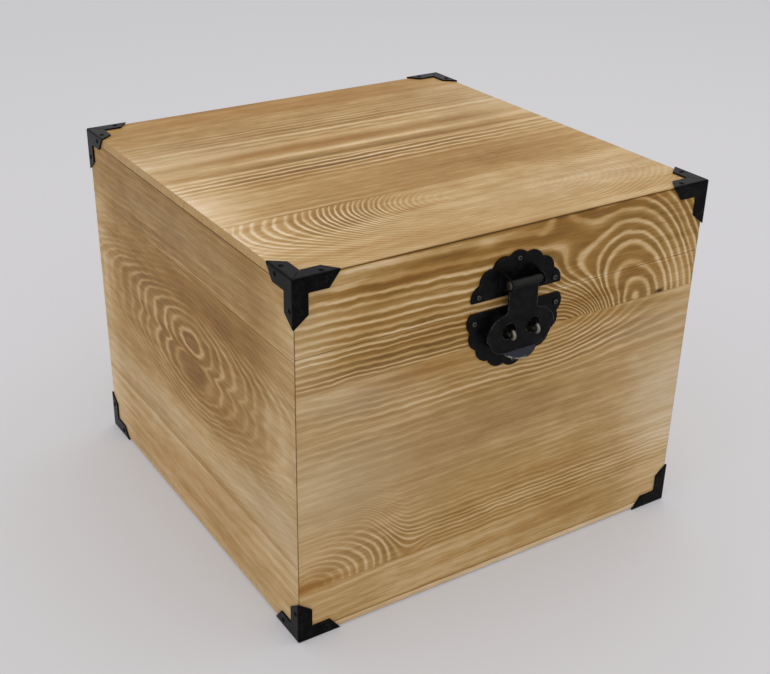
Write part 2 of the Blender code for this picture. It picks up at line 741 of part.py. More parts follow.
def lower_plate():
    """The base's plate: the bottom of the rosette, with holes for the eyes' spigots."""
    mesh = flat_piece("hasp_lower_plate", [rosette_outline()], PLATE_SHEET)
    place = plate_place(LOWER_PLATE_CENTRE)
    plate = add_piece("hasp_lower_plate", mesh, BLACK, BASE, place)
    waste = straight_cut("lower_plate_waste", LOWER_PLATE_CUT, ROSETTE_RADIUS + OVERRUN)
    combine(plate, "DIFFERENCE", add_cutter("lower_plate_waste", waste, place))
    holes = rod("eye_spigot_holes", EYE_SPIGOT_RADIUS + HOLE_GAP, -PLATE_SHEET - OVERRUN, OVERRUN,
                eye_places(), NAIL_SIDES)
    combine(plate, "DIFFERENCE", add_cutter("eye_spigot_holes", holes))
    combine(plate, "DIFFERENCE", BASE_NAIL_HOLES)
    settle(plate)


def plate_nails():
    nail = domed_fastener("nail", NAIL_HEAD_RADIUS, NAIL_HEAD_HEIGHT, NAIL_RADIUS, NAIL_LENGTH, NAIL_SIDES)
    upper = nail_places(UPPER_PLATE_CENTRE, UPPER_NAIL_ANGLES)
    lower = nail_places(LOWER_PLATE_CENTRE, LOWER_NAIL_ANGLES)
    for spot, place in zip(("right", "top", "left"), upper):
        add_piece(f"hasp_upper_nail_{spot}", nail, BRONZE, LID, place)
    for spot, place in zip(("right", "bottom", "left"), lower):
        add_piece(f"hasp_lower_nail_{spot}", nail, BRONZE, BASE, place)


def eye_stem():
    """Spigot, collar and tapered stem of an eye; Z runs out from the plate's face."""
    ring_back = EYE_OUT - EYE_RING_RADIUS
    return turned("eye_stem", [
        (0, ring_back),
        (EYE_NECK_RADIUS, ring_back),
        (EYE_STEM_RADIUS, EYE_COLLAR_HEIGHT),
        (EYE_COLLAR_RADIUS, EYE_COLLAR_HEIGHT),
        (EYE_COLLAR_RADIUS, HEAD_GAP),
        (EYE_SPIGOT_RADIUS, HEAD_GAP),
        (EYE_SPIGOT_RADIUS, -PLATE_SHEET),
        (0, -PLATE_SHEET),
    ], NAIL_SIDES)


def eye_ring(name, place):
    """A wire ring that stands upright, its hole facing sideways for a lock or a bar."""
    bpy.ops.mesh.primitive_torus_add(
        major_radius=EYE_RING_RADIUS, minor_radius=EYE_WIRE_RADIUS,
        major_segments=TURN_STEPS, minor_segments=TURN_STEPS // 2)
    torus = bpy.context.object
    mesh = torus.data
    bpy.data.objects.remove(torus)
    return add_cutter(name, mesh, place @ Matrix.Translation((0, 0, EYE_OUT)) @ ALONG_X)


def hasp_eyes():
    for side, place in zip(("left", "right"), eye_places()):
        eye = add_piece(f"hasp_eye_{side}", eye_stem(), BRONZE, BASE, place)
        combine(eye, "UNION", eye_ring(f"eye_ring_{side}", place))
        settle(eye)


def hasp_pin():
    half_length = EAR_INSIDE + EAR_SHEET + HEAD_GAP
    mesh = headed_pin("hasp_pin", HASP_PIN_RADIUS, half_length, HASP_PIN_HEAD_RADIUS,
                      HASP_PIN_HEAD_HEIGHT, NAIL_SIDES)
    add_piece("hasp_pin", mesh, BRONZE, LID, Matrix.Translation(HASP_AXIS) @ ALONG_X)


def lip_crease():
    """Height of the flap's bend: where the lower part of a lobe reaches the lip's corner."""
    lower_radius = LOBE_RADIUS - LOBE_STEP
    return -LOBE_DROP - math.sqrt(lower_radius ** 2 - (LIP_HALF_WIDTH - LOBE_OFFSET) ** 2)


def flap_half_outline():
    """The flap's right side from the pin's axis down to the lip's middle."""
    lobe = (LOBE_OFFSET, -LOBE_DROP)
    fillet_x = NECK_HALF_WIDTH + NECK_FILLET
    across = fillet_x - LOBE_OFFSET
    fillet_y = -LOBE_DROP + math.sqrt((LOBE_RADIUS + NECK_FILLET) ** 2 - across ** 2)
    touch = math.atan2(fillet_y + LOBE_DROP, across)
    crease = lip_crease()
    root = math.atan2(crease + LOBE_DROP, LIP_HALF_WIDTH - LOBE_OFFSET)
    lip_radius = (LIP_HALF_WIDTH ** 2 + LIP_LENGTH ** 2) / (2 * LIP_LENGTH)
    lip_centre = (0, crease - LIP_LENGTH + lip_radius)
    lip_start = math.atan2(crease - lip_centre[1], LIP_HALF_WIDTH)
    return [
        (NECK_HALF_WIDTH, 0),
        *arc((fillet_x, fillet_y), NECK_FILLET, math.pi, math.pi + touch),
        *arc(lobe, LOBE_RADIUS, touch, LOBE_TIP_ANGLE, 2 * ARC_STEPS)[1:],
        *arc(lobe, LOBE_RADIUS - LOBE_STEP, LOBE_STEP_ANGLE, root, 2 * ARC_STEPS),
        *arc(lip_centre, lip_radius, lip_start, -math.pi / 2)[1:],
    ]


def fold(mesh, crease, angle):
    """Bends all that lies below the crease out towards +Z."""
    bm = bmesh.new()
    bm.from_mesh(mesh)
    bmesh.ops.bisect_plane(bm, geom=bm.verts[:] + bm.edges[:] + bm.faces[:], dist=WELD,
                           plane_co=(0, crease, 0), plane_no=(0, 1, 0))
    below = [vert for vert in bm.verts if vert.co.y < crease - WELD]
    bmesh.ops.rotate(bm, cent=(0, crease, 0), matrix=Matrix.Rotation(-angle, 3, "X"), verts=below)
    bm.to_mesh(mesh)
    bm.free()


def hasp_flap():
    """The swinging flap: rolled end, neck, two lobes with a hole each, and a lip bent out."""
    right = flap_half_outline()
    left = [(-x, y) for x, y in reversed(right[:-1])]
    holes = [circle((side * EYE_OFFSET, -EYE_HOLE_BELOW_AXIS), EYE_HOLE_RADIUS, 2 * NAIL_SIDES)
             for side in (-1, 1)]
    mesh = flat_piece("hasp_flap", [right + left, *holes], FLAP_SHEET)
    fold(mesh, lip_crease(), LIP_BEND)
    mesh.transform(Matrix.Translation((0, 0, FLAP_SHEET / 2 - CURL_RADIUS)))
    mesh.transform(STANDING)
    flap = add_piece("hasp_flap", mesh, BLACK, HASP, Matrix.Translation(HASP_AXIS))
    curl = rod("flap_curl", CURL_RADIUS, -NECK_HALF_WIDTH, NECK_HALF_WIDTH,
               [Matrix.Translation(HASP_AXIS) @ ALONG_X])
    combine(flap, "UNION", add_cutter("flap_curl", curl))
    combine(flap, "DIFFERENCE", pin_bore("flap_bore", NECK_HALF_WIDTH + OVERRUN))
    settle(flap)


# Back hinges

def leaf_outline():
    """A leaf from its end: X runs from the pin's axis along the sheet, and Y out of the wood."""
    back = -KNUCKLE_RADIUS
    front = back + HINGE_SHEET
    start = math.asin(front / KNUCKLE_RADIUS)
    knuckle = arc((0, 0), KNUCKLE_RADIUS, start, math.radians(270), 2 * ARC_STEPS)
    return [*knuckle, (HINGE_LEAF_WIDTH, back), (HINGE_LEAF_WIDTH, front)]


def knuckle_gaps(leaf):
    """Where a leaf leaves room for the other one's knuckles, along the hinge."""
    half_middle = HINGE_MIDDLE_KNUCKLE / 2
    if leaf == "base":
        return [(-half_middle - SEAT_GAP, half_middle + SEAT_GAP)]
    end = HINGE_LENGTH / 2 + OVERRUN
    return [(-end, -half_middle), (half_middle, end)]


def hinge_leaf(hinge, leaf, parent, screw_holes):
    """A leaf with knuckles round the pin; the lid's leaf runs up from the axis and the base's down."""
    name = f"hinge_{hinge}_{leaf}_leaf"
    bore = circle((0, 0), HINGE_PIN_RADIUS + RUNNING_GAP)
    mesh = flat_piece(name, [leaf_outline(), bore], HINGE_LENGTH)
    place = hinge_place(hinge) @ Matrix.Rotation(math.radians(90 if leaf == "base" else -90), 4, "Y")
    piece = add_piece(name, mesh, BLACK, parent, place)
    ease(piece, HINGE_LEAF_CORNER, BEND_STEPS, lambda a, b: (
        min(a.x, b.x) > HINGE_LEAF_WIDTH - WELD and abs(a.z - b.z) < WELD))
    reach = KNUCKLE_RADIUS + OVERRUN
    for start, end in knuckle_gaps(leaf):
        gap = block("knuckle_gap", (-reach, -reach, start), (KNUCKLE_RADIUS + SEAT_GAP, reach, end))
        combine(piece, "DIFFERENCE", add_cutter("knuckle_gap", gap, place))
    combine(piece, "DIFFERENCE", screw_holes)
    settle(piece)


def hinge_pins():
    half_length = HINGE_LENGTH / 2 + HEAD_GAP
    pin = headed_pin("hinge_pin", HINGE_PIN_RADIUS, half_length, HINGE_PIN_HEAD_RADIUS,
                     HINGE_PIN_HEAD_HEIGHT, NAIL_SIDES)
    for hinge in HINGES:
        add_piece(f"hinge_{hinge}_pin", pin, BRONZE, BASE, hinge_place(hinge) @ ALONG_X)


def hinge_screws(leaf, side, parent):
    screw = domed_fastener("screw", SCREW_HEAD_RADIUS, SCREW_HEAD_HEIGHT, SCREW_RADIUS, SCREW_LENGTH,
                           NAIL_SIDES)
    for hinge, x in HINGES.items():
        for spot, place in zip(("left", "right"), screw_places(x, side)):
            add_piece(f"hinge_{hinge}_{leaf}_{spot}_screw", screw, BRONZE, parent, place)


def back_hinges():
    for hinge in HINGES:
        hinge_leaf(hinge, "base", BASE, BASE_SCREW_HOLES)
        hinge_leaf(hinge, "lid", LID, LID_SCREW_HOLES)
    hinge_pins()
    hinge_screws("base", -1, BASE)
    hinge_screws("lid", 1, LID)


base_walls()
base_bottom_panel()
lid_rails()
lid_top_panel()
corner_brackets()
upper_plate()
lower_plate()
plate_nails()
hasp_eyes()
hasp_pin()
hasp_flap()
back_hinges()
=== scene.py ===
# %% [markdown]
# # A toasted wooden trunk
# The trunk is a near-cubic box of edge-glued softwood boards. Its maker scorches the boards with a flame and
# brushes them, so that the soft early wood turns brown and the harder late wood stays as pale lines. Black
# sheet-metal brackets guard the corners, and a black hasp with a scalloped outline closes the front.
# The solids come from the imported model. This script gives them their finishes, and swaps the small metal
# pieces for finer ones of the same size.

# %% Load the frame
import math

import bmesh
import bpy
from mathutils import Matrix, Vector


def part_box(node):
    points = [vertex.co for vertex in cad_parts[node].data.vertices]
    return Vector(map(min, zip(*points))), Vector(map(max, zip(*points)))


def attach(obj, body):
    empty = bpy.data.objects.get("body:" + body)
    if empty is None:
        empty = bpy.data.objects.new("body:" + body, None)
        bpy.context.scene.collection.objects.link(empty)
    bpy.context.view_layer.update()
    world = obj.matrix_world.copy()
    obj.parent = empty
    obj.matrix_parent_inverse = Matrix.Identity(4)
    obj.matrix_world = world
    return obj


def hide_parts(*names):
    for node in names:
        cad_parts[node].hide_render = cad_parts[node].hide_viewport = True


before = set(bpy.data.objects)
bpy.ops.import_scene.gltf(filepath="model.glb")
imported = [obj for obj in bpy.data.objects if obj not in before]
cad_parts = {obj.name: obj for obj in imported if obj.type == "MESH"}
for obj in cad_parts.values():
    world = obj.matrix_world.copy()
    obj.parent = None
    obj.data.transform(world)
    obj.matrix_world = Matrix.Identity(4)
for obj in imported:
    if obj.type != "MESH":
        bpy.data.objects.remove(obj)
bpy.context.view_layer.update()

# %% [markdown]
# ## Measures
# Every finish below is laid out in millimetres on the box itself: along the front, up from the floor, and
# back from the middle. That middle is read from the wood, because the fittings move the model's zero off it.

# %% Middle of the box
MM = 0.001
wood_low, wood_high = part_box("lid_top_panel")
BOX_MIDDLE_Y = ((wood_low + wood_high) / 2).y / MM
print(f"wood {(wood_high.x - wood_low.x) / MM:.1f} mm wide, its middle at y {BOX_MIDDLE_Y:.2f} mm")

# %% [markdown]
# ## Camera
# The photograph looks down on the trunk's front left corner. Its vanishing points give the heading, the tilt
# and the focal length. The picture was cropped, so the lens's middle is off the frame's middle, and a small
# shift of the lens stands for that.

# %% Camera
SENSOR_WIDTH = 36
FOCAL_LENGTH = 56.57
SHIFT_ACROSS, SHIFT_UP = 0.0473, 0.0035
NEAREST = 10 * MM
CAMERA_PLACE = (-0.4213, -0.6464, 0.5018)
HEADING, TILT, ROLL = -31.37, 62.72, 0.29
camera_data = bpy.data.cameras.new("camera")
camera_data.sensor_width = SENSOR_WIDTH
camera_data.lens = FOCAL_LENGTH
camera_data.shift_x = SHIFT_ACROSS
camera_data.shift_y = SHIFT_UP
camera_data.clip_start = NEAREST
camera = bpy.data.objects.new("camera", camera_data)
bpy.context.scene.collection.objects.link(camera)
camera.matrix_world = (
    Matrix.Translation(CAMERA_PLACE)
    @ Matrix.Rotation(math.radians(HEADING), 4, "Z")
    @ Matrix.Rotation(math.radians(TILT), 4, "X")
    @ Matrix.Rotation(math.radians(ROLL), 4, "Z")
)
bpy.context.scene.camera = camera
print("camera at", [round(v, 3) for v in camera.matrix_world.translation])

# %% [markdown]
# ## Wiring
# The finishes are trees of nodes. A small helper adds one node, sets or links its inputs, and hands back its
# output, so that a tree reads like a sum. What several finishes share is a group, and a group's sockets are made
# through its interface.

# %% Helpers that wire nodes
def plug(tree, socket, value):
    """Links a socket to another node's output, or gives it a plain value."""
    if isinstance(value, bpy.types.NodeSocket):
        tree.links.new(value, socket)
    else:
        socket.default_value = value


def wire(tree, kind, inputs, output=0, **settings):
    """Adds a node with its settings, fills its inputs with values or links, and returns one output."""
    node = tree.nodes.new(kind)
    for name, value in settings.items():
        setattr(node, name, value)
    for key, value in inputs.items():
        plug(tree, node.inputs[key], value)
    return node.outputs[output]


def maths(tree, operation, *values):
    return wire(tree, "ShaderNodeMath", dict(enumerate(values)), operation=operation)


def smooth_step(tree, value, start, end, low=0.0, high=1.0):
    """Runs smoothly from low to high as the value goes from start to end."""
    inputs = {"Value": value, "From Min": start, "From Max": end, "To Min": low, "To Max": high}
    return wire(tree, "ShaderNodeMapRange", inputs, interpolation_type="SMOOTHSTEP")


def mix_numbers(tree, share, first, second):
    return wire(tree, "ShaderNodeMix", {0: share, 2: first, 3: second})


def blend_colours(tree, share, first, second):
    """A Mix node has inputs for each kind of value: 6 and 7 are its colours, and output 2 is their mix."""
    return wire(tree, "ShaderNodeMix", {0: share, 6: first, 7: second}, output=2, data_type="RGBA")


def own_point(tree, kind="Object"):
    """Where a point lies on the model, in metres, or with another kind, which way it faces."""
    return wire(tree, "ShaderNodeTexCoord", {}, kind)


def split(tree, point):
    """The X, Y and Z of a point or a direction, by name."""
    return wire(tree, "ShaderNodeSeparateXYZ", {0: point}).node.outputs


def new_group(name, inputs, outputs):
    """Makes an empty node group; returns its tree, what it is given and what it has to hand back."""
    tree = bpy.data.node_groups.new(name, "ShaderNodeTree")
    for socket in inputs:
        tree.interface.new_socket(socket, in_out="INPUT", socket_type="NodeSocketFloat")
    for socket, kind in outputs.items():
        tree.interface.new_socket(socket, in_out="OUTPUT", socket_type=kind)
    given = tree.nodes.new("NodeGroupInput").outputs
    wanted = tree.nodes.new("NodeGroupOutput").inputs
    return tree, given, wanted


def use_group(tree, group, inputs):
    """Places a group in a tree and returns its outputs, by name."""
    return wire(tree, "ShaderNodeGroup", inputs, node_tree=group).node.outputs


# %% [markdown]
# ## Room
# The photograph was taken on a sheet of pale grey paper under soft light. One large plane stands for the
# paper. It glows a little for the camera alone, since the real paper shows fainter shadows and less of the
# wood's warm light than plain grey paint would. The world fills the shadows, and sends the same grey to the
# camera, to shiny metal and through anything clear, a little darker towards the horizon, as the far paper is.
# Three wide lamps do the rest: the strongest hangs over the trunk, and two weaker ones face its front and its
# left side.

# %% Colours as they are seen
def paint(red, green, blue):
    """A colour as seen on a screen, from 0 to 255 a channel, in the linear values that a shader wants."""
    def linear(value):
        share = value / 255
        return share / 12.92 if share <= 0.04045 else ((share + 0.055) / 1.055) ** 2.4
    return (linear(red), linear(green), linear(blue), 1.0)


PAPER = paint(217, 216, 219)
FAR_PAPER = paint(192, 191, 194)

# %% What the camera sees, and what lights the trunk
def new_material(name):
    material = bpy.data.materials.new(name)
    material.use_nodes = True
    return material, material.node_tree, material.node_tree.nodes["Principled BSDF"]


def seen_directly(tree):
    """1 for the camera's own rays, also by way of metal or glass, and 0 for the rays that gather light."""
    rays = tree.nodes.new("ShaderNodeLightPath").outputs
    mirrored = maths(tree, "MAXIMUM", rays["Is Camera Ray"], rays["Is Glossy Ray"])
    return maths(tree, "MAXIMUM", mirrored, rays["Is Transmission Ray"])


# %% Floor
PAPER_GLOW = 0.28
GLOWING_PAPER = paint(206, 204, 207)
PAPER_ROUGHNESS = 0.9
FLOOR_HALF_WIDTH = 6
paper_material, paper_tree, paper_shader = new_material("paper_backdrop")
paper_shader.inputs["Base Color"].default_value = PAPER
paper_shader.inputs["Roughness"].default_value = PAPER_ROUGHNESS
glow = wire(paper_tree, "ShaderNodeEmission", {"Color": GLOWING_PAPER})
glow_share = maths(paper_tree, "MULTIPLY", seen_directly(paper_tree), PAPER_GLOW)
paper_seen = wire(paper_tree, "ShaderNodeMixShader", {0: glow_share, 1: paper_shader.outputs[0], 2: glow})
paper_tree.links.new(paper_seen, paper_tree.nodes["Material Output"].inputs["Surface"])
floor_mesh = bpy.data.meshes.new("paper_floor")
floor_edit = bmesh.new()
bmesh.ops.create_grid(floor_edit, x_segments=1, y_segments=1, size=FLOOR_HALF_WIDTH)
floor_edit.to_mesh(floor_mesh)
floor_edit.free()
floor_mesh.materials.append(paper_material)
floor = bpy.data.objects.new("paper_floor", floor_mesh)
bpy.context.scene.collection.objects.link(floor)
print("floor", [round(v, 1) for v in floor.dimensions])

# %% World
FILL_STRENGTH = 0.74
HORIZON_REACH = 0.35
world = bpy.data.worlds.new("studio")
bpy.context.scene.world = world
world.use_nodes = True
sky = world.node_tree
sky.nodes.clear()
fill_light = wire(sky, "ShaderNodeBackground", {"Color": (1, 1, 1, 1), "Strength": FILL_STRENGTH})
above_horizon = smooth_step(sky, split(sky, own_point(sky, "Generated"))["Z"], 0.0, HORIZON_REACH)
greys = wire(sky, "ShaderNodeValToRGB", {0: above_horizon})
for element, grey in zip(greys.node.color_ramp.elements, (FAR_PAPER, PAPER)):
    element.color = grey
backdrop_light = wire(sky, "ShaderNodeBackground", {"Color": greys})
sky_seen = wire(sky, "ShaderNodeMixShader", {0: seen_directly(sky), 1: fill_light, 2: backdrop_light})
sky.links.new(sky_seen, sky.nodes.new("ShaderNodeOutputWorld").inputs["Surface"])
bpy.context.scene.view_settings.view_transform = "Standard"
print("world fill", FILL_STRENGTH)

# %% Lamps
TRUNK_MIDDLE = Vector((0, 0, 0.12))


def add_lamp(name, place, width, power, colour):
    """A square lamp that faces the middle of the trunk."""
    data = bpy.data.lights.new(name, "AREA")
    data.shape = "SQUARE"
    data.size = width
    data.energy = power
    data.color = colour
    lamp = bpy.data.objects.new(name, data)
    bpy.context.scene.collection.objects.link(lamp)
    lamp.location = place
    lamp.rotation_euler = (TRUNK_MIDDLE - Vector(place)).to_track_quat("-Z", "Y").to_euler()
    print(f"{name}: {width} m wide, {power} W")


add_lamp("overhead_lamp", place=(0.45, 0.1, 1.7), width=1.6, power=6.5, colour=(1.0, 0.985, 0.96))
add_lamp("front_lamp", place=(-0.5, -1.9, 1.0), width=1.4, power=3.6, colour=(1.0, 0.99, 0.98))
add_lamp("left_lamp", place=(-1.9, -0.1, 1.0), width=1.4, power=3.4, colour=(1.0, 0.99, 0.97))

# %% [markdown]
# ## The figure of the wood
# A board's figure is a map of its growth rings. On a plain board the ring count just rises from one edge to
# the other, which draws straight lines. Where the tree had a knot, or the saw came near the heart, the count
# has a hill or a hollow in it, and the lines run round that, as contour lines do on a map of a hill.
# So each board is drawn as a ring count: a slope, plus a few soft hills. The hill is a group with a centre, a
# reach each way and a height in rings. The same group also lays soft patches of darker toasting.

# %% Group: soft hill
HILL_SOCKETS = ("Value", "Along", "Across", "Centre Along", "Centre Across", "Reach Along", "Reach Across",
                "Height")
HILL, given, wanted = new_group("soft_hill", HILL_SOCKETS, {"Value": "NodeSocketFloat"})
u = maths(HILL, "SUBTRACT", given["Along"], given["Centre Along"])
u = maths(HILL, "DIVIDE", u, given["Reach Along"])
v = maths(HILL, "SUBTRACT", given["Across"], given["Centre Across"])
v = maths(HILL, "DIVIDE", v, given["Reach Across"])
distance = maths(HILL, "MULTIPLY_ADD", u, u, maths(HILL, "MULTIPLY", v, v))
fall = maths(HILL, "EXPONENT", maths(HILL, "MULTIPLY", distance, -1.0))
HILL.links.new(maths(HILL, "MULTIPLY_ADD", fall, given["Height"], given["Value"]), wanted["Value"])
print("group soft_hill:", len(HILL.nodes), "nodes")

# %% [markdown]
# The ring count turns into lines. Near each whole number lies a thin pale line of late wood, and the soft wood
# between two lines is scorched, darkest midway and a little darker on one side than on the other. Real rings
# differ from year to year, so a slow noise over the count makes some wide and some narrow, some strong and some
# faint.

# %% Group: growth rings
YEARS_DIFFER = 0.6  # how far a ring strays from its place, in rings
STRONG_YEARS = (0.25, 0.55)  # the noise at which a ring is faintest, and at which it shows in full
FAINTEST = 0.55
BURN_AT_LINE, BURN_LEANS = 0.5, 0.6
MIDWAY = 0.4  # how far from a line the burn is in full, in rings
RINGS, given, wanted = new_group(
    "growth_rings", ["Rings", "Line Width", "Softness"], {"Pale": "NodeSocketFloat", "Burn": "NodeSocketFloat"})
uneven = wire(RINGS, "ShaderNodeTexNoise", {"W": given["Rings"], "Scale": 0.4, "Detail": 1.0},
              noise_dimensions="1D")
count = maths(RINGS, "MULTIPLY_ADD", uneven, YEARS_DIFFER, given["Rings"])
from_line = maths(RINGS, "PINGPONG", count, 0.5)
edge = maths(RINGS, "ADD", given["Line Width"], given["Softness"])
pale = smooth_step(RINGS, from_line, given["Line Width"], edge, 1.0, 0.0)
strength = wire(RINGS, "ShaderNodeTexNoise", {"W": given["Rings"], "Scale": 0.8, "Detail": 0.0},
                noise_dimensions="1D")
strength = smooth_step(RINGS, strength, *STRONG_YEARS, FAINTEST, 1.0)
RINGS.links.new(maths(RINGS, "MULTIPLY", pale, strength), wanted["Pale"])
past_line = maths(RINGS, "FRACT", count)
burn = smooth_step(RINGS, from_line, given["Line Width"], MIDWAY)
burn = maths(RINGS, "MULTIPLY", burn, maths(RINGS, "MULTIPLY_ADD", past_line, BURN_LEANS, BURN_AT_LINE))
RINGS.links.new(maths(RINGS, "MULTIPLY", burn, strength), wanted["Burn"])
print("group growth_rings:", len(RINGS.nodes), "nodes")

# %% [markdown]
# Between the rings the brush leaves fine fibres, long along the grain and a fraction of a millimetre
# across. They come from noise that is stretched along the grain. The same stretch on a broad scale gives
# the streaks of uneven toasting, and rounder ones give mottling and the ripples that real rings have.

# %% Group: brushed fibres
FIBRES, given, wanted = new_group(
    "brushed_fibres", ["Along", "Across", "Depth"],
    {"Fibre": "NodeSocketFloat", "Streak": "NodeSocketFloat", "Mottle": "NodeSocketFloat",
     "Ripple": "NodeSocketFloat"})


def stretched_noise(along_scale, across_scale, detail, roughness):
    """Noise with its own scale along the grain and across it, in waves a millimetre."""
    along = maths(FIBRES, "MULTIPLY", given["Along"], along_scale)
    across = maths(FIBRES, "MULTIPLY", given["Across"], across_scale)
    depth = maths(FIBRES, "MULTIPLY", given["Depth"], across_scale)
    place = wire(FIBRES, "ShaderNodeCombineXYZ", {"X": along, "Y": across, "Z": depth})
    return wire(FIBRES, "ShaderNodeTexNoise",
                {"Vector": place, "Scale": 1.0, "Detail": detail, "Roughness": roughness})


NOISE_SPAN = (0.3, 0.7)  # nearly all values of a noise lie between these
NOISES = {"Fibre": (0.07, 1.3, 3.0, 0.6), "Streak": (0.009, 0.16, 3.0, 0.55),
          "Mottle": (0.035, 0.06, 2.0, 0.5), "Ripple": (0.06, 0.1, 2.0, 0.6)}
for name, measures in NOISES.items():
    FIBRES.links.new(stretched_noise(*measures), wanted[name])
print("group brushed_fibres:", len(FIBRES.nodes), "nodes")

# %% [markdown]
# ## Boards as data
# Each side of the trunk is glued up from a few boards, and each board has its own figure. A board is written as
# a small record: where it begins across the grain, how wide its rings are, how its lines lean, and its hills.
# Around a knot the rings close into arches, which no straight count gives. Such a board has an eye as well: a
# count that falls evenly away from a point, longer one way than the other, and that takes over from the
# straight count along the board. A board sawn through the heart has ovals: the count rises to both sides of a
# flat middle, and slowly along the board too.
# A side also has patches: where the lines show strongly, where the wood is toasted darker or stays pale,
# where the scorch has a red tinge, and where a greyer sheen of reflected light is painted into the colour. Along
# the lid seam the pale patches are painted light, which makes the shadow in the gap look thinner. Each patch is
# a soft hill too. All lengths are in millimetres.

# %% Records of boards and sides
def board(begins, pitch, lean=0.0, widen=0.0, hills=(), eye=None, ovals=None, toast=0.4, shows=0.12):
    """hills are (along, across, reach along, reach across, rings); pitch is the distance between rings.
    toast is how brown the board is, and shows is how strongly its lines stand out."""
    return {"begins": begins, "pitch": pitch, "lean": lean, "widen": widen, "hills": hills, "eye": eye,
            "ovals": ovals, "toast": toast, "shows": shows}


def eye(along, across, stretch, pitch, count, lean=0.0, blunt=5.0, takes_over=None, tilt=0.0, ends=None):
    """Rings round a point: stretch is their height over their width, and count is the number at the point.
    takes_over holds where along the board the eye starts to show and where it has taken over, and ends holds
    where across the board it fades out again."""
    return {"along": along, "across": across, "stretch": stretch, "pitch": pitch, "count": count, "lean": lean,
            "blunt": blunt, "takes_over": takes_over, "tilt": tilt, "ends": ends}


def ovals(along, across, flat, pitch_along, count, blunt=20.0):
    """Rings that rise to both sides of a flat band, and by one ring in each pitch_along along the board."""
    return {"along": along, "across": across, "flat": flat, "pitch_along": pitch_along, "count": count,
            "blunt": blunt}


def side(boards, toast_and_painted_light=(), lines=(), ruddy=(), painted_sheen=(), line_width=0.06, softness=0.2, ripple=0.35,
         end_toast=0.38):
    """The lists of toast, line strength and red tinge are patches, and so is the fourth list, a painted sheen: a
    greyer reflection of light laid into the colour. Each patch is (along, across, reach along, reach across,
    amount), and along the lid seam some pale toast patches are painted light. ripple is how far the rings waver,
    in rings, and end_toast is how brown the sawn ends are."""
    return {"boards": boards, "toast_and_painted_light": toast_and_painted_light, "lines": lines, "ruddy": ruddy, "painted_sheen": painted_sheen,
            "line_width": line_width, "softness": softness, "ripple": ripple, "end_toast": end_toast}


# %% The front, along x and up z
FRONT = side(
    boards=[
        board(0, 6.0, lean=-0.02, toast=0.33),
        board(36, 2.95, widen=0.0011,
              eye=eye(-140, 38, 0.65, -3.6, -8.4, blunt=3, takes_over=(-52, -86), tilt=0.5, ends=(72, 108)),
              hills=[(38, 173, 45, 22, 5.5), (-60, 178, 150, 30, 6)], toast=0.43),
        board(171, 3.46, lean=0.03, widen=0.00145,
              eye=eye(98, 174, 1.4, 5.95, 17.2, lean=0.22, blunt=40, takes_over=(14, 79)),
              hills=[(44, 205, 20, 18, 3), (42, 230, 22, 10, 1), (55, 168, 24, 15, -5), (98, 173, 10, 8, 0.6),
                     (98, 193, 16, 10, -0.35)],
              toast=0.52, shows=0.95),
    ],
    lines=[
        (60, 158, 34, 12, 0.85), (90, 146, 80, 10, 0.45), (-20, 144, 80, 9, 0.45), (-110, 156, 50, 16, 0.35),
        (30, 49, 150, 13, 0.6), (-94, 54, 30, 20, 0.5), (-110, 126, 60, 10, 0.25), (-20, 238, 50, 8, -0.55),
        (-130, 240, 30, 8, -0.4), (-149, 200, 26, 40, -0.35), (138, 180, 16, 14, -0.3), (0, 100, 160, 26, 0.03),
    ],
    toast_and_painted_light=[
        (-70, 180, 80, 12, 0.1), (-80, 227, 30, 4, 0.14), (-50, 233, 14, 5, 0.14), (8, 232, 34, 8, 0.18),
        (-110, 238, 26, 4, -0.3), (-22, 235, 8, 4, -0.3), (97, 195, 14, 5, 0.2), (60, 184, 26, 9, 0.12),
        (60, 222, 24, 6, 0.1), (-148, 205, 34, 40, -0.2), (136, 182, 16, 16, -0.2), (100, 165, 24, 4, 0.12),
        (-52, 166, 26, 4, 0.16), (-130, 163, 40, 6, -0.1), (10, 118, 70, 20, 0.16), (30, 138, 60, 10, 0.08),
        (0, 85, 120, 16, 0.02), (-146, 90, 24, 50, -0.16), (142, 90, 36, 55, -0.3), (145, 60, 30, 30, -0.1),
        (70, 22, 60, 12, 0.2), (-30, 54, 90, 12, 0.02), (-110, 24, 40, 12, 0.04), (97, 195, 44, 22, -0.03),
        (110, 150, 30, 12, 0.06), (-110, 158, 40, 8, 0.08), (-78, 165.5, 32, 3, 0.16),
        # painted light: (0, 194.5, ...) pales the board edges along the lid seam, so that the shadow in the gap
        # looks thinner
        (-112, 167.5, 26, 1.8, -0.2), (0, 194.5, 170, 1.1, -0.28), (0, 5, 160, 1.6, 0.4),
        (0, 2, 160, 1.6, -0.5), (0, 241.6, 170, 1.2, 0.42), (119.7, 172.4, 2.6, 1.0, 1.9),
        (-148, 39.3, 20, 2.2, 0.75),
    ],
    ruddy=[(-80, 227, 30, 6, 0.5), (-72, 165, 34, 5, 0.8), (-148, 39.5, 24, 3.4, 1.7), (115, 240, 20, 4, 0.4),
           (8, 232, 40, 9, 0.5), (60, 222, 20, 6, 0.3), (97, 195, 14, 6, 0.5)],
    # painted sheen: greyer patches that paint reflected light into the wood's colour
    painted_sheen=[(-120, 105, 60, 50, 0.9), (-110, 160, 40, 12, 0.6), (135, 95, 40, 50, 0.9),
           (10, 110, 100, 30, 0.35), (110, 150, 50, 12, 0.5), (-149, 200, 20, 40, 0.4)],
)

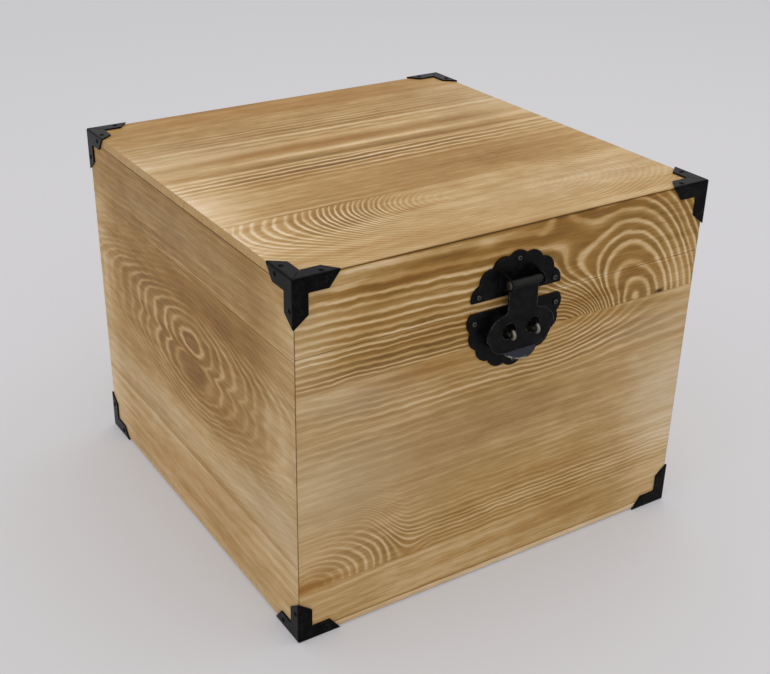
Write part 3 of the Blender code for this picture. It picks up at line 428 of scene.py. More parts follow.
# %% The left side, along y and up z
LEFT = side(
    boards=[
        board(0, 9.0, toast=0.3),
        board(54, 4.2, ovals=ovals(-12, 135.5, 21, 15.0, 0.85), hills=[
            (-11, 145, 22, 7.5, -0.8), (-12, 133.5, 110, 3.2, 0.62), (-13, 121, 28, 9, 0.3),
        ], toast=0.54, shows=0.1),
        board(192, 5.0, lean=0.03, toast=0.63),
    ],
    lines=[(4, 136, 80, 26, 0.85), (90, 160, 70, 10, 0.35), (-95, 158, 60, 10, 0.4), (40, 200, 60, 8, 0.35),
           (-30, 100, 80, 8, 0.3)],
    toast_and_painted_light=[
        (-12, 145, 16, 6, 0.12), (-14, 122, 26, 9, 0.16), (0, 178, 90, 13, 0.2), (-90, 178, 60, 13, 0.14),
        (0, 84, 120, 12, -0.14), (0, 68, 160, 12, -0.26), (-148, 72, 60, 24, -0.2), (149, 120, 26, 140, -0.3),
        (-135, 130, 26, 36, -0.3), (-149, 215, 30, 40, -0.32), (-60, 22, 40, 14, 0.08),
        # painted light: the two patches at 194.5 pale the board edges along the lid seam, so that the gap's
        # shadow looks thinner
        (-70, 194.5, 90, 1.3, -0.35), (60, 194.5, 80, 1.3, -0.2), (0, 235.6, 160, 0.8, 0.4),
        (0, 135, 70, 24, 0.04),
    ],
    ruddy=[(0, 180, 70, 18, 0.4), (-10, 128, 60, 22, 0.4), (90, 105, 40, 12, 0.4), (20, 25, 120, 24, 0.6)],
    # painted sheen: greyer patches that paint reflected light into the wood's colour
    painted_sheen=[(-120, 75, 60, 24, 0.8), (60, 66, 90, 12, 0.5), (-135, 150, 30, 60, 0.4), (0, 215, 140, 20, 0.35)],
    line_width=0.05, softness=0.2, ripple=0.7,
)

# %% The top, along x and back y
TOP = side(
    boards=[
        board(-149, 20.0, eye=eye(30, -90, 0.48, 2.4, 30.4, lean=0.2),
              hills=[(-149, -95, 32, 60, 3), (-25, -95, 50, 45, 6)], toast=0.38),
        board(-66, 6.42, lean=-0.012, toast=0.46, shows=0.1),
        board(15, 12.0, lean=0.008, hills=[(0, 103, 500, 22, 3)], toast=0.48, shows=0.1),
    ],
    lines=[
        (-112, -92, 44, 30, 0.8), (-70, -86, 30, 22, 0.75), (110, -76, 30, 10, 0.3), (70, -130, 90, 12, 0.12),
        (-10, 0, 140, 13, 1.45), (0, 62, 150, 10, 0.5), (0, 82, 130, 10, 0.65), (-50, -126, 50, 14, 0.2),
        (30, -88, 40, 14, -0.12),
    ],
    toast_and_painted_light=[
        (50, -36, 110, 20, 0.18), (-20, -3, 60, 2.6, 0.16), (0, 20.5, 150, 3.4, 0.2), (-45, 40, 80, 6, 0.24),
        (60, 38, 70, 6, 0.12), (0, 12.5, 150, 1.6, -0.32), (0, 28.5, 150, 3, -0.36), (0, 53, 150, 4, -0.3),
        (0, 66, 150, 4, -0.2), (0, 59, 150, 2.6, 0.1), (0, 112, 150, 16, 0.04), (0, 138, 150, 16, 0.13),
        (147, 40, 28, 110, -0.2), (-149, -30, 36, 80, -0.32), (-120, 60, 50, 20, -0.08),
        (-92, -84, 36, 18, 0.12), (-149, 0, 5, 160, -0.08), (0, 17, 150, 2.4, 0.12), (10, -112, 60, 10, -0.08),
        (100, -105, 50, 20, -0.1), (0, -149, 170, 1.4, 0.8),
    ],
    ruddy=[(-60, 40, 70, 6, 0.9), (10, 40, 60, 6, 0.5), (0, 135, 150, 20, 0.9), (40, -30, 120, 30, 0.4)],
    # painted sheen: greyer patches that paint reflected light into the wood's colour
    painted_sheen=[(-120, 62, 50, 24, 0.5), (135, 80, 40, 40, 0.5), (110, -100, 50, 16, 0.5),
           (40, -112, 60, 12, 0.2)],
)

# %% [markdown]
# The photograph shows three sides only. The back and the right side get boards of the same kind with a
# figure of their own, calmer than the front, so that no figure appears twice. The loose panel under the box
# is bare, untoasted wood.

# %% The sides that the photograph does not show
BACK = side(
    boards=[
        board(0, 5.5, lean=0.01),
        board(52, 4.4, ovals=ovals(40, 108, 12, 17.0, 0.3), toast=0.46),
        board(164, 5.2, lean=-0.03, hills=[(-90, 178, 46, 30, 7)], toast=0.42, shows=0.3),
    ],
    lines=[(30, 110, 110, 34, 0.6), (-90, 200, 70, 36, 0.6), (70, 205, 90, 12, 0.3)],
    toast_and_painted_light=[(40, 108, 60, 20, 0.14), (-90, 190, 40, 16, 0.2), (120, 60, 60, 40, -0.2),
              (0, 20, 120, 14, 0.1)],
    ruddy=[(40, 110, 60, 26, 0.4), (-90, 195, 40, 20, 0.4)],
)
RIGHT = side(
    boards=[
        board(0, 3.2, lean=0.02, toast=0.44),
        board(68, 6.5, lean=-0.02, hills=[(60, 80, 60, 26, 6)], toast=0.38),
        board(158, 4.6, lean=0.02, hills=[(-50, 200, 80, 26, -7)], toast=0.48),
    ],
    lines=[(60, 90, 80, 26, 0.55), (-50, 200, 100, 30, 0.6), (0, 40, 140, 16, 0.4)],
    toast_and_painted_light=[(-50, 190, 60, 18, 0.2), (100, 120, 40, 50, -0.2), (-110, 100, 40, 40, -0.14),
              (0, 15, 120, 10, 0.1)],
    ruddy=[(-50, 195, 70, 20, 0.5)],
)
PANEL = side(
    boards=[board(-149, 8.0, toast=0.16), board(-50, 6.5, lean=0.01, toast=0.2), board(60, 9.0, toast=0.13)],
    lines=[(0, 0, 160, 30, 0.2)],
    toast_and_painted_light=[(60, 60, 80, 60, 0.06)],
    end_toast=0.24,
)
SIDES = {"front": FRONT, "left": LEFT, "top": TOP, "back": BACK, "right": RIGHT, "panel": PANEL}
for name, data in SIDES.items():
    print(f"{name}: {len(data['boards'])} boards, {sum(len(b['hills']) for b in data['boards'])} hills")

# %% [markdown]
# ## Toasted wood
# One function builds the material for a side. It takes the two directions that the figure is laid out in,
# draws each board's rings, joins the boards at their glue lines and lays the patches. All of it ends in one
# number, the toast, from 0 for the palest late wood to 1 for scorched wood. A ramp of wood colours turns the
# number into a colour, so that every part of a side stays in one family of browns. Sawn ends show short strokes
# in place of the figure, and the edges catch the light as if they were a little rounded.

# %% Ramp of wood colours
WOOD_COLOURS = [
    (0.0, paint(228, 203, 168)),
    (0.22, paint(206, 175, 127)),
    (0.45, paint(179, 142, 84)),
    (0.7, paint(147, 108, 44)),
    (1.0, paint(106, 71, 15)),
]
SCORCH_MARK = paint(58, 34, 8)
SCORCH_SPAN = (1.15, 1.6)  # past a toast of 1, the wood turns to this mark
RUDDY_TINT = paint(178, 116, 34)
# painted sheen: the grey of reflected light, laid into the wood's colour in patches
PAINTED_SHEEN_TINT = paint(186, 168, 140)


def wood_ramp(tree, toast):
    node = tree.nodes.new("ShaderNodeValToRGB")
    ramp = node.color_ramp
    while len(ramp.elements) < len(WOOD_COLOURS):
        ramp.elements.new(0.5)
    for element, (position, colour) in zip(ramp.elements, WOOD_COLOURS):
        element.position = position
        element.color = colour
    tree.links.new(toast, node.inputs[0])
    return node.outputs[0]


# %% Coordinates and patches
def grain_coordinates(tree, along_axis, across_axis, middle):
    """Millimetres along the grain, across it and into the board, and the point itself."""
    place = wire(tree, "ShaderNodeVectorMath", {0: own_point(tree), "Scale": 1 / MM}, operation="SCALE")
    axes = split(tree, place)
    depth_axis = next(axis for axis in "XYZ" if axis not in (along_axis, across_axis))
    along = maths(tree, "SUBTRACT", axes[along_axis], middle[0])
    across = maths(tree, "SUBTRACT", axes[across_axis], middle[1])
    return along, across, axes[depth_axis], place


def lay_patches(tree, value, along, across, patches):
    """Adds soft patches to a value."""
    for patch in patches:
        measures = (value, along, across, *map(float, patch))
        value = use_group(tree, HILL, dict(zip(HILL_SOCKETS, measures)))["Value"]
    return value


# %% The rings of one board
OVALS_MERGE = 14.0  # mm over which the flat middle of the ovals goes over into their slope


def blunt_length(tree, blunt, *parts):
    """The length of a vector from its parts, rounded off near zero."""
    total = blunt ** 2
    for part in parts:
        total = maths(tree, "MULTIPLY_ADD", part, part, total)
    return maths(tree, "SUBTRACT", maths(tree, "SQRT", total), blunt)


def straight_count(tree, along, across, data):
    local = maths(tree, "MULTIPLY_ADD", along, data["lean"], maths(tree, "SUBTRACT", across, data["begins"]))
    slope = maths(tree, "MULTIPLY_ADD", local, -data["widen"], 1 / data["pitch"])
    return maths(tree, "MULTIPLY", local, slope)


def eye_count(tree, along, across, data):
    up = maths(tree, "SUBTRACT", across, data["across"])
    off = maths(tree, "MULTIPLY_ADD", up, data["lean"], maths(tree, "SUBTRACT", along, data["along"]))
    away = blunt_length(tree, data["blunt"], maths(tree, "MULTIPLY", off, data["stretch"]), up)
    return maths(tree, "MULTIPLY_ADD", away, -1 / data["pitch"], data["count"])


def oval_count(tree, along, across, data, pitch):
    up = maths(tree, "ABSOLUTE", maths(tree, "SUBTRACT", across, data["across"]))
    up = maths(tree, "SMOOTH_MAX", maths(tree, "SUBTRACT", up, data["flat"]), 0.0, OVALS_MERGE)
    off = blunt_length(tree, data["blunt"], maths(tree, "SUBTRACT", along, data["along"]))
    count = maths(tree, "MULTIPLY_ADD", off, 1 / data["pitch_along"], data["count"])
    return maths(tree, "MULTIPLY_ADD", up, 1 / pitch, count)


def ring_count(tree, along, across, data):
    if data["ovals"]:
        count = oval_count(tree, along, across, data["ovals"], data["pitch"])
    else:
        count = straight_count(tree, along, across, data)
    knot = data["eye"]
    if knot:
        round_count = eye_count(tree, along, across, knot)
        if knot["takes_over"]:
            from_knot = maths(tree, "SUBTRACT", across, knot["across"])
            where = maths(tree, "MULTIPLY_ADD", from_knot, knot["tilt"], along)
            share = smooth_step(tree, where, *knot["takes_over"])
            if knot["ends"]:
                share = maths(tree, "MULTIPLY", share, smooth_step(tree, across, *knot["ends"], 1.0, 0.0))
            count = mix_numbers(tree, share, count, round_count)
        else:
            count = round_count
    return lay_patches(tree, count, along, across, data["hills"])


# %% End grain
FACING_ALONG = (0.6, 0.8)  # how squarely a face has to look along the grain to be a sawn end
PALER_STROKE, DARKER_STROKE = -0.06, 0.12
STROKE_LENGTH = 4.0  # times its width
STROKE_NOISE = {"Scale": 0.7, "Detail": 3.0, "Roughness": 0.7}


def show_end_grain(tree, toast, end_toast, along_axis, across, depth):
    """On a board's sawn ends the figure gives way to short ragged strokes through the thickness."""
    facing = split(tree, own_point(tree, "Normal"))
    on_end = smooth_step(tree, maths(tree, "ABSOLUTE", facing[along_axis]), *FACING_ALONG)
    drawn_out = maths(tree, "MULTIPLY", depth, 1 / STROKE_LENGTH)
    place = wire(tree, "ShaderNodeCombineXYZ", {"X": across, "Y": drawn_out})
    strokes = wire(tree, "ShaderNodeTexNoise", {"Vector": place, **STROKE_NOISE})
    strokes = smooth_step(tree, strokes, *NOISE_SPAN, end_toast + PALER_STROKE, end_toast + DARKER_STROKE)
    return mix_numbers(tree, on_end, toast, strokes)


# %% Toasted wood material
DRY_WOOD_IOR = 1.36  # lower than varnished wood's, for a dry surface with little gloss
EDGE_RADIUS = 0.7 * MM
RELIEF = {"Strength": 0.3, "Distance": 0.2 * MM}
PALE_STANDS_OUT = 0.6  # how far the late wood stands above the brushed fibres
WAVE = 4.0  # mm that the lines wander to and fro
SLOW_NOISE = {"Scale": 0.03, "Detail": 3.0, "Roughness": 0.6}
NEXT_BOARD = 100.0  # rings between two boards, so that they share no stretch of noise
GLUE_LINE = 0.12
GLUE_LINE_SPAN = (0.1, 0.6)  # mm from the joint
PALE_LINE, BURNT_RING = -0.32, 0.34
UNEVEN_TOAST = {"Streak": (-0.07, 0.07), "Mottle": (-0.05, 0.05), "Fibre": (-0.07, 0.08)}
RED_STREAKS = 0.5
RED_STREAK_SPAN = (0.5, 0.75)
# the most red tinge, and the most painted sheen, that a patch mixes into the colour
MOST_RUDDY, MOST_PAINTED_SHEEN = 0.35, 0.45
SMOOTHEST, ROUGHEST = 0.42, 0.58


def lay_boards(tree, along, across, wavy, boards):
    """Joins the boards of a side: its ring count, its toast and how strongly its lines show."""
    count, toast, shows = 0.0, 0.0, 0.0
    for number, piece in enumerate(boards):
        rings = maths(tree, "ADD", ring_count(tree, along, wavy, piece), NEXT_BOARD * number)
        past = maths(tree, "GREATER_THAN", across, float(piece["begins"]))
        count = mix_numbers(tree, past, count, rings)
        toast = mix_numbers(tree, past, toast, piece["toast"])
        shows = mix_numbers(tree, past, shows, piece["shows"])
        off_joint = maths(tree, "ABSOLUTE", maths(tree, "SUBTRACT", across, float(piece["begins"])))
        toast = maths(tree, "ADD", toast, smooth_step(tree, off_joint, *GLUE_LINE_SPAN, GLUE_LINE, 0.0))
    return count, toast, shows


def toasted_wood(name, along_axis, across_axis, data, middle=(0.0, 0.0)):
    material, tree, shader = new_material(name)
    along, across, depth, place = grain_coordinates(tree, along_axis, across_axis, middle)
    fibres = use_group(tree, FIBRES, {"Along": along, "Across": across, "Depth": depth})
    slow = wire(tree, "ShaderNodeTexNoise", {"Vector": place, **SLOW_NOISE})
    wavy = maths(tree, "MULTIPLY_ADD", slow, WAVE, maths(tree, "ADD", across, -WAVE / 2))
    count, toast, shows = lay_boards(tree, along, across, wavy, data["boards"])
    ripple = maths(tree, "MULTIPLY", maths(tree, "SUBTRACT", fibres["Ripple"], 0.5), data["ripple"])
    lines = use_group(tree, RINGS, {
        "Rings": maths(tree, "ADD", count, ripple), "Line Width": data["line_width"],
        "Softness": data["softness"]})
    shows = lay_patches(tree, shows, along, across, data["lines"])
    # toast patches; along the lid seam some of them are painted light that pales the board edges
    toast = lay_patches(tree, toast, along, across, data["toast_and_painted_light"])
    burnt = maths(tree, "MULTIPLY", lines["Burn"], BURNT_RING)
    ringed = maths(tree, "MULTIPLY_ADD", lines["Pale"], PALE_LINE, burnt)
    toast = maths(tree, "MULTIPLY_ADD", ringed, shows, toast)
    for noise, (least, most) in UNEVEN_TOAST.items():
        toast = maths(tree, "ADD", toast, smooth_step(tree, fibres[noise], *NOISE_SPAN, least, most))
    toast = show_end_grain(tree, toast, data["end_toast"], along_axis, across, depth)
    colour = wood_ramp(tree, toast)
    redder = smooth_step(tree, fibres["Streak"], *RED_STREAK_SPAN, 0.0, RED_STREAKS)
    # The first pass tints the wood redder with red streaks and ruddy patches; the second paints a greyer sheen
    # of reflected light into the colour.
    for first, patches, tint, most in ((redder, data["ruddy"], RUDDY_TINT, MOST_RUDDY),
                                       (0.0, data["painted_sheen"], PAINTED_SHEEN_TINT, MOST_PAINTED_SHEEN)):
        share = maths(tree, "MULTIPLY", lay_patches(tree, first, along, across, patches), most)
        colour = blend_colours(tree, share, colour, tint)
    marked = smooth_step(tree, toast, *SCORCH_SPAN)
    tree.links.new(blend_colours(tree, marked, colour, SCORCH_MARK), shader.inputs["Base Color"])
    rough = smooth_step(tree, fibres["Fibre"], *NOISE_SPAN, SMOOTHEST, ROUGHEST)
    tree.links.new(rough, shader.inputs["Roughness"])
    shader.inputs["IOR"].default_value = DRY_WOOD_IOR
    relief = maths(tree, "MULTIPLY_ADD", lines["Pale"], PALE_STANDS_OUT, fibres["Fibre"])
    soft_edges = wire(tree, "ShaderNodeBevel", {"Radius": EDGE_RADIUS}, samples=4)
    bump = wire(tree, "ShaderNodeBump", {"Height": relief, "Normal": soft_edges, **RELIEF})
    tree.links.new(bump, shader.inputs["Normal"])
    print(f"{name}: {len(tree.nodes)} nodes")
    return material


BOX_MIDDLE = (BOX_MIDDLE_Y, 0.0)
front_wood = toasted_wood("front_boards", "X", "Z", FRONT)
left_wood = toasted_wood("left_boards", "Y", "Z", LEFT, BOX_MIDDLE)
top_wood = toasted_wood("top_boards", "X", "Y", TOP, (0.0, BOX_MIDDLE_Y))
back_wood = toasted_wood("back_boards", "X", "Z", BACK)
right_wood = toasted_wood("right_boards", "Y", "Z", RIGHT, BOX_MIDDLE)
panel_wood = toasted_wood("bare_panel", "X", "Y", PANEL, (0.0, BOX_MIDDLE_Y))

# %% Put the wood on the boards
def dress(node, material):
    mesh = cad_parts[node].data
    mesh.materials.clear()
    mesh.materials.append(material)


WOOD_OF_NODE = {
    "base_front_wall": front_wood, "lid_front_rail": front_wood,
    "base_back_wall": back_wood, "lid_back_rail": back_wood,
    "base_left_wall": left_wood, "lid_left_rail": left_wood,
    "base_right_wall": right_wood, "lid_right_rail": right_wood,
    "lid_top_panel": top_wood, "base_bottom_panel": panel_wood,
}
for node_name, wood in WOOD_OF_NODE.items():
    dress(node_name, wood)
print("wooden nodes:", len(WOOD_OF_NODE))

# %% [markdown]
# ## Black metal
# The brackets and the hasp are steel sheet with a matte black coat. Handling rubs the coat through on the
# edges first, where bare metal glints. The Bevel node finds these edges: it gives the normal that a rounded
# edge would have, and where that differs from the real normal there is an edge. The same rounded normal
# makes the edges catch the light.

# %% Group: worn edges
NORMALS_AGREE, NORMALS_DIFFER = 0.99, 0.85  # product of the rounded and the real normal, off an edge and on it
CHIP_SPAN = (0.38, 0.62)
LEAST_CHIPPED = 0.15
WORN_EDGES, given, wanted = new_group(
    "worn_edges", ["Radius", "Scale"], {"Edge": "NodeSocketFloat", "Normal": "NodeSocketVector"})
rounded = wire(WORN_EDGES, "ShaderNodeBevel", {"Radius": given["Radius"]}, samples=4)
flat = wire(WORN_EDGES, "ShaderNodeNewGeometry", {}, "True Normal")
alike = wire(WORN_EDGES, "ShaderNodeVectorMath", {0: rounded, 1: flat}, "Value", operation="DOT_PRODUCT")
turned = smooth_step(WORN_EDGES, alike, NORMALS_AGREE, NORMALS_DIFFER)
chipping = wire(WORN_EDGES, "ShaderNodeTexNoise",
                {"Vector": own_point(WORN_EDGES), "Scale": given["Scale"], "Detail": 4.0})
chipping = smooth_step(WORN_EDGES, chipping, *CHIP_SPAN, LEAST_CHIPPED, 1.0)
WORN_EDGES.links.new(maths(WORN_EDGES, "MULTIPLY", turned, chipping), wanted["Edge"])
WORN_EDGES.links.new(rounded, wanted["Normal"])
print("group worn_edges:", len(WORN_EDGES.nodes), "nodes")

# %% Coated metal material
CHIP_SCALE = 700.0
BLOTCH_NOISE = {"Scale": 180.0, "Detail": 5.0, "Roughness": 0.6}
DUST = 0.02
DUST_SPAN = (0.4, 0.75)
SHINIER, DULLER = -0.06, 0.08


def coated_metal(name, coat, bare, wear, roughness, clear, metallic=0.0, edge_radius=0.4 * MM):
    """Metal with a coat colour, a bare colour that shows on worn edges, and a blotchy sheen.
    clear is the coat's index of refraction: a low one keeps faces that are seen squarely dark."""
    material, tree, shader = new_material(name)
    edges = use_group(tree, WORN_EDGES, {"Radius": edge_radius, "Scale": CHIP_SCALE})
    blotches = wire(tree, "ShaderNodeTexNoise", {"Vector": own_point(tree), **BLOTCH_NOISE})
    colour = blend_colours(tree, smooth_step(tree, blotches, *DUST_SPAN, 0.0, DUST), coat, bare)
    colour = blend_colours(tree, maths(tree, "MULTIPLY", edges["Edge"], wear), colour, bare)
    tree.links.new(colour, shader.inputs["Base Color"])
    sheen = smooth_step(tree, blotches, *NOISE_SPAN, roughness + SHINIER, roughness + DULLER)
    tree.links.new(sheen, shader.inputs["Roughness"])
    tree.links.new(edges["Normal"], shader.inputs["Normal"])
    shader.inputs["Metallic"].default_value = metallic
    shader.inputs["IOR"].default_value = clear
    print(f"{name}: {len(tree.nodes)} nodes")
    return material, tree, shader, colour


BLACK_COAT = paint(8, 8, 10)
BARE_STEEL = paint(150, 146, 134)
bracket_black, bracket_tree, bracket_shader, bracket_colour = coated_metal(
    "black_bracket", paint(2, 2, 3), BARE_STEEL, wear=0.1, roughness=0.22, clear=1.15, edge_radius=0.5 * MM)
plate_black, *_ = coated_metal(
    "black_hasp_plate", BLACK_COAT, BARE_STEEL, wear=0.12, roughness=0.36, clear=1.16)
flap_black, flap_tree, flap_shader, flap_colour = coated_metal(
    "black_hasp_flap", BLACK_COAT, paint(150, 148, 140), wear=0.55, roughness=0.34, clear=1.16,
    edge_radius=0.6 * MM)
worn_bronze, *_ = coated_metal(
    "worn_dark_bronze", paint(70, 68, 61), paint(160, 156, 140), wear=0.5, roughness=0.42, clear=1.3,
    metallic=0.8)
pin_steel, *_ = coated_metal(
    "pin_steel", paint(78, 76, 68), paint(176, 172, 156), wear=0.6, roughness=0.4, clear=1.3, metallic=0.8)
eye_steel, eye_tree, eye_shader, eye_colour = coated_metal(
    "eye_steel", paint(34, 33, 30), paint(206, 202, 188), wear=0.3, roughness=0.34, clear=1.2, metallic=0.8)

# %% [markdown]
# The flap's two ends are greyer than the rest. On the bent lip that grey is painted light, the light falling on
# its face, and the roll round the pin is painted greyer too. The lip's left edge is worn down to bright metal
# and carries a painted highlight. The eyes are bright at their tips, where the flap slides over them.

# %% Greyer ends of the flap, with painted light on the lip and a painted highlight on its edge
LIP_HEIGHT = 5.4 * MM
LIP_EDGE = 3.9 * MM
ROLL_HEIGHT = 3.0 * MM
# painted light: the grey-blue of the light that falls on the lip's bent face
LIT_LIP_GREY = paint(56, 56, 66)
# the roll round the pin is painted greyer than the flap
ROLL_GREY = paint(42, 42, 40)
# painted highlight on the lip's worn edge
LIP_WORN_HIGHLIGHT = paint(226, 221, 206)
# shares of painted light on the lip and of plain grey on the roll
LIP_LIGHT_SHARE, ROLL_GREYED = 0.85, 0.8
WORN_LIP = {"Radius": 1.1 * MM, "Scale": 300.0}
# where along x the painted highlight starts, and where it is full
HIGHLIGHT_BEGINS, HIGHLIGHT_FULL = 4 * MM, -2 * MM
BRIGHT = 0.5
flap_low, flap_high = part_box("hasp_flap")
lip_top, lip_edge, roll_start = flap_low.z + LIP_HEIGHT, flap_low.z + LIP_EDGE, flap_high.z - ROLL_HEIGHT
on_flap = split(flap_tree, own_point(flap_tree))
# painted light on the lip's face
on_lip = smooth_step(flap_tree, on_flap["Z"], lip_top, lip_top - MM, 0, LIP_LIGHT_SHARE)
on_roll = smooth_step(flap_tree, on_flap["Z"], roll_start, roll_start + MM, 0, ROLL_GREYED)
flap_ends_painted = blend_colours(flap_tree, on_lip, flap_colour, LIT_LIP_GREY)
flap_ends_painted = blend_colours(flap_tree, on_roll, flap_ends_painted, ROLL_GREY)
worn_lip = use_group(flap_tree, WORN_EDGES, WORN_LIP)["Edge"]
at_edge = smooth_step(flap_tree, on_flap["Z"], lip_edge, lip_edge - MM)
left_of_middle = smooth_step(flap_tree, on_flap["X"], HIGHLIGHT_BEGINS, HIGHLIGHT_FULL)
# the worn lower left edge of the lip, with a painted highlight
worn_highlight = maths(flap_tree, "MULTIPLY", maths(flap_tree, "MULTIPLY", worn_lip, at_edge), left_of_middle)
flap_ends_painted = blend_colours(flap_tree, smooth_step(flap_tree, worn_highlight, 0.0, BRIGHT), flap_ends_painted, LIP_WORN_HIGHLIGHT)
flap_tree.links.new(flap_ends_painted, flap_shader.inputs["Base Color"])
print(f"flap from {flap_low.z / MM:.1f} to {flap_high.z / MM:.1f} mm")

# %% Rubbed tips of the eyes
TIP_LENGTH = 3.4 * MM
TIP_STEEL = paint(138, 135, 123)
TIP_RUBBED = 0.9
eye_low, eye_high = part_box("hasp_eye_left")
tip_start = eye_low.y + TIP_LENGTH
eye_place = split(eye_tree, own_point(eye_tree))
on_tip = smooth_step(eye_tree, eye_place["Y"], tip_start, tip_start - MM, 0, TIP_RUBBED)
eye_rubbed = blend_colours(eye_tree, on_tip, eye_colour, TIP_STEEL)
eye_tree.links.new(eye_rubbed, eye_shader.inputs["Base Color"])
print(f"eyes stand {(eye_high.y - eye_low.y) / MM:.1f} mm deep")

# %% [markdown]
# Each bracket is held by small tacks whose heads are dished. The solid's tack heads have no dish, so the shade
# in each dish is painted as a dark dot. All the dots lie in the same place on every face of every bracket: 20 mm
# along one edge of the box and 4.2 mm from the next. So the material measures how far a point is from the box's
# three nearest outer faces, sorts the three distances, and paints the dot of shade where they fit.

# %% Dished tacks, with their shade painted as dots
TACK_ALONG = 20.0
TACK_INSET = 4.2
DISH_RADIUS = 1.15
DISH_RIM = (0.3, 0.6)  # of the dish's depth
# painted shade: the dark inside each tack's dish
DISH_SHADE_BLACK = paint(3, 3, 4)


def sorted_distances(tree):
    """The middle and the greatest of a point's distances from the nearest three outer faces, in mm."""
    axes = split(tree, own_point(tree))
    bracket_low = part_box("bracket_lower_front_left")[0]
    bracket_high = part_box("bracket_upper_back_right")[1]
    distances = []
    for axis, low, high in zip("XYZ", bracket_low, bracket_high):
        near = maths(tree, "SUBTRACT", axes[axis], low)
        far = maths(tree, "SUBTRACT", high, axes[axis])
        distances.append(maths(tree, "DIVIDE", maths(tree, "MINIMUM", near, far), MM))
    least, most, total = (maths(tree, operation, maths(tree, operation, *distances[:2]), distances[2])
                          for operation in ("MINIMUM", "MAXIMUM", "ADD"))
    return maths(tree, "SUBTRACT", maths(tree, "SUBTRACT", total, most), least), most


middle, most = sorted_distances(bracket_tree)
dish = lay_patches(bracket_tree, 0.0, most, middle, [(TACK_ALONG, TACK_INSET, DISH_RADIUS, DISH_RADIUS, 1.0)])
# paints the shade of each tack's dish as a dark dot
painted_dish_shade = blend_colours(bracket_tree, smooth_step(bracket_tree, dish, *DISH_RIM), bracket_colour, DISH_SHADE_BLACK)
bracket_tree.links.new(painted_dish_shade, bracket_shader.inputs["Base Color"])
print("tack dots", TACK_ALONG, TACK_INSET)

# %% [markdown]
# The nails of the hasp have domed heads with a rim and a dimple that the punch left, the flap's pin ends in
# rounded knobs, and the hinges' screws have a slot for the screwdriver. The solids have plain domes and discs
# there. Finer pieces replace them: a profile is turned about the piece's axis, as on a lathe.

# %% Lathe
LATHE_STEPS = 40


def turn_on_lathe(name, profile, start, outwards, skins, rim=None):
    """Turns (radius, distance) pairs, in millimetres, about an axis that leaves the start outwards."""
    turned = Vector(outwards).to_track_quat("Z", "Y").to_matrix().to_4x4()
    place = Matrix.Translation(start) @ turned @ Matrix.Scale(MM, 4)
    mesh = bpy.data.meshes.new(name)
    edit = bmesh.new()
    rings = []
    for radius, distance in profile:
        angles = [math.tau * step / LATHE_STEPS for step in range(LATHE_STEPS if radius else 1)]
        rings.append([edit.verts.new(place @ Vector((radius * math.cos(a), radius * math.sin(a), distance)))
                      for a in angles])
    for (radius, _), inner, outer in zip(profile, rings, rings[1:]):
        for step in range(LATHE_STEPS):
            after = (step + 1) % LATHE_STEPS
            if len(inner) == 1:
                corners = (inner[0], outer[after], outer[step])
            elif len(outer) == 1:
                corners = (inner[step], inner[after], outer[0])
            else:
                corners = (inner[step], inner[after], outer[after], outer[step])
            face = edit.faces.new(corners)
            face.smooth = True
            face.material_index = 1 if rim and rim[0] <= radius <= rim[1] else 0
    if len(rings[-1]) > 1:
        edit.faces.new(rings[-1])
    bmesh.ops.recalc_face_normals(edit, faces=edit.faces)
    edit.to_mesh(mesh)
    edit.free()
    for skin in skins:
        mesh.materials.append(skin)
    piece = bpy.data.objects.new(name, mesh)
    bpy.context.scene.collection.objects.link(piece)
    return piece


def put_in_place_of(piece, node, body):
    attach(piece, body)
    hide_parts(node)


# %% Nail heads
HEAD_PROFILE = [(0.0, 0.51), (0.4, 0.52), (0.62, 0.67), (0.8, 0.93), (1.05, 1.0), (1.3, 0.91), (1.45, 0.72),
                (1.8, 0.57), (2.15, 0.33), (2.28, 0.09), (2.28, 0.0)]
RIM = (0.7, 1.4)
PLATE_SHEET = 1.0 * MM
NAILS = {"lid": ("hasp_upper_nail_left", "hasp_upper_nail_top", "hasp_upper_nail_right"),
         "base": ("hasp_lower_nail_left", "hasp_lower_nail_bottom", "hasp_lower_nail_right")}
plate_face = {"lid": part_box("hasp_upper_plate")[1].y, "base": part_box("hasp_lower_plate")[1].y}
for body, nails in NAILS.items():
    for nail in nails:
        low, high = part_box(nail)
        seat = plate_face[body] - PLATE_SHEET
        reach = (seat - low.y) / MM
        start = ((low.x + high.x) / 2, seat, (low.z + high.z) / 2)
        profile = [(radius, share * reach) for radius, share in HEAD_PROFILE]
        head = turn_on_lathe(nail + "_head", profile, start, (0, -1, 0), [plate_black, pin_steel], RIM)
        put_in_place_of(head, nail, body)
print("nail heads:", sum(map(len, NAILS.values())), f"reach {reach:.2f} mm")

# %% Pin with knobs
pin_low, pin_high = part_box("hasp_pin")
pin_length = (pin_high.x - pin_low.x) / MM
KNOB = [(0.0, 0.0), (0.9, 0.03), (1.7, 0.14), (2.3, 0.36), (2.62, 0.66), (2.7, 0.9), (2.7, 1.0)]
SHAFT_RADIUS = 1.2
left_knob = KNOB + [(SHAFT_RADIUS, 1.0)]
right_knob = [(radius, pin_length - distance) for radius, distance in reversed(left_knob)]
pin_start = (pin_low.x, (pin_low.y + pin_high.y) / 2, (pin_low.z + pin_high.z) / 2)
turned_pin = turn_on_lathe("hasp_pin_turned", left_knob + right_knob, pin_start, (1, 0, 0), [pin_steel])
put_in_place_of(turned_pin, "hasp_pin", "lid")
print(f"pin {pin_length:.1f} mm long, knobs {2 * KNOB[-1][0]:.1f} mm wide")

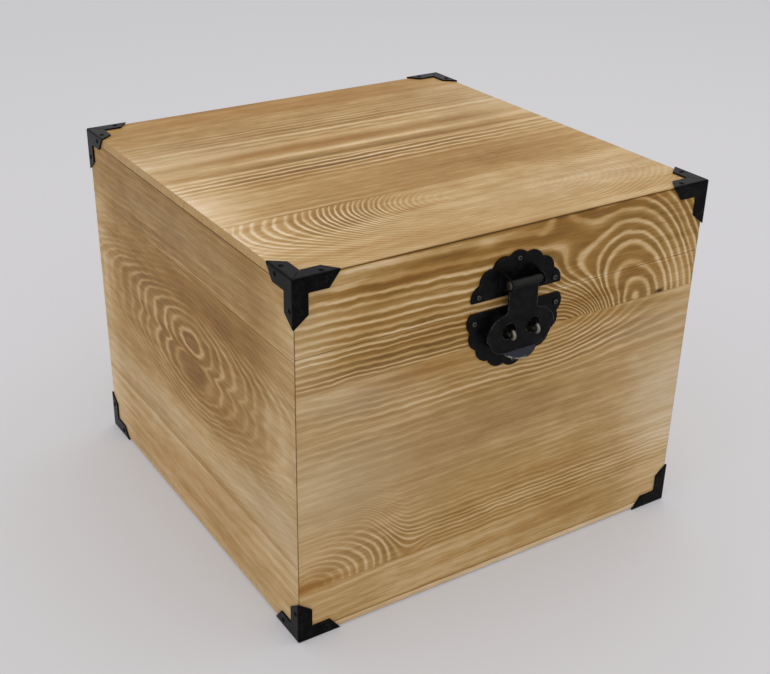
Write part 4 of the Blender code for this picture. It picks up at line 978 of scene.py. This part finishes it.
# %% Slotted screws
SCREW_HEIGHT = 0.9
SCREW_PROFILE = [(0.0, SCREW_HEIGHT), (0.6, 0.86), (1.2, 0.72), (1.7, 0.45), (2.0, 0.18), (2.1, 0.0)]
SLOT_WIDTH = 0.5 * MM
SLOT_DEPTH = 0.45 * MM
SHARP_EDGE = math.radians(40)
FACES_OUT = 0.1
SLOT_TURNS = {"left_base_left": 15, "left_base_right": 70, "left_lid_left": 130, "left_lid_right": 95,
              "right_base_left": 40, "right_base_right": 160, "right_lid_left": 5, "right_lid_right": 110}


def cut_slot(piece, start, outwards, turn):
    """Sinks a straight strip of a turned head, so that it has a slot with upright walls."""
    start, outwards = Vector(start), Vector(outwards)
    sideways = Matrix.Rotation(math.radians(turn), 3, outwards) @ outwards.orthogonal().normalized()
    edit = bmesh.new()
    edit.from_mesh(piece.data)
    for half in (-SLOT_WIDTH / 2, SLOT_WIDTH / 2):
        bmesh.ops.bisect_plane(edit, geom=edit.verts[:] + edit.edges[:] + edit.faces[:],
                               plane_co=start + sideways * half, plane_no=sideways)
    strip = [face for face in edit.faces if face.normal.dot(outwards) > FACES_OUT
             and abs((face.calc_center_median() - start).dot(sideways)) < SLOT_WIDTH / 2]
    sunk = bmesh.ops.extrude_face_region(edit, geom=strip)["geom"]
    corners = [part for part in sunk if isinstance(part, bmesh.types.BMVert)]
    bmesh.ops.translate(edit, verts=corners, vec=-outwards * SLOT_DEPTH)
    bmesh.ops.delete(edit, geom=strip, context="FACES")
    for line in edit.edges:
        line.smooth = line.calc_face_angle(0.0) < SHARP_EDGE
    edit.to_mesh(piece.data)
    edit.free()


for screw, turn in SLOT_TURNS.items():
    node = f"hinge_{screw}_screw"
    low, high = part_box(node)
    start = ((low.x + high.x) / 2, high.y - SCREW_HEIGHT * MM, (low.z + high.z) / 2)
    head = turn_on_lathe(node + "_head", SCREW_PROFILE, start, (0, 1, 0), [worn_bronze])
    cut_slot(head, start, (0, 1, 0), turn)
    put_in_place_of(head, node, screw.split("_")[1])
print("slotted screws:", len(SLOT_TURNS))

# %% Put the metal on the fittings
METAL_OF_PART = {"eye": eye_steel, "flap": flap_black, "pin": worn_bronze}
for node_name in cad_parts:
    if node_name.startswith("bracket"):
        dress(node_name, bracket_black)
    elif node_name not in WOOD_OF_NODE:
        dress(node_name, next((METAL_OF_PART[part] for part in METAL_OF_PART if part in node_name), plate_black))
print("fittings:", len(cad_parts) - len(WOOD_OF_NODE))
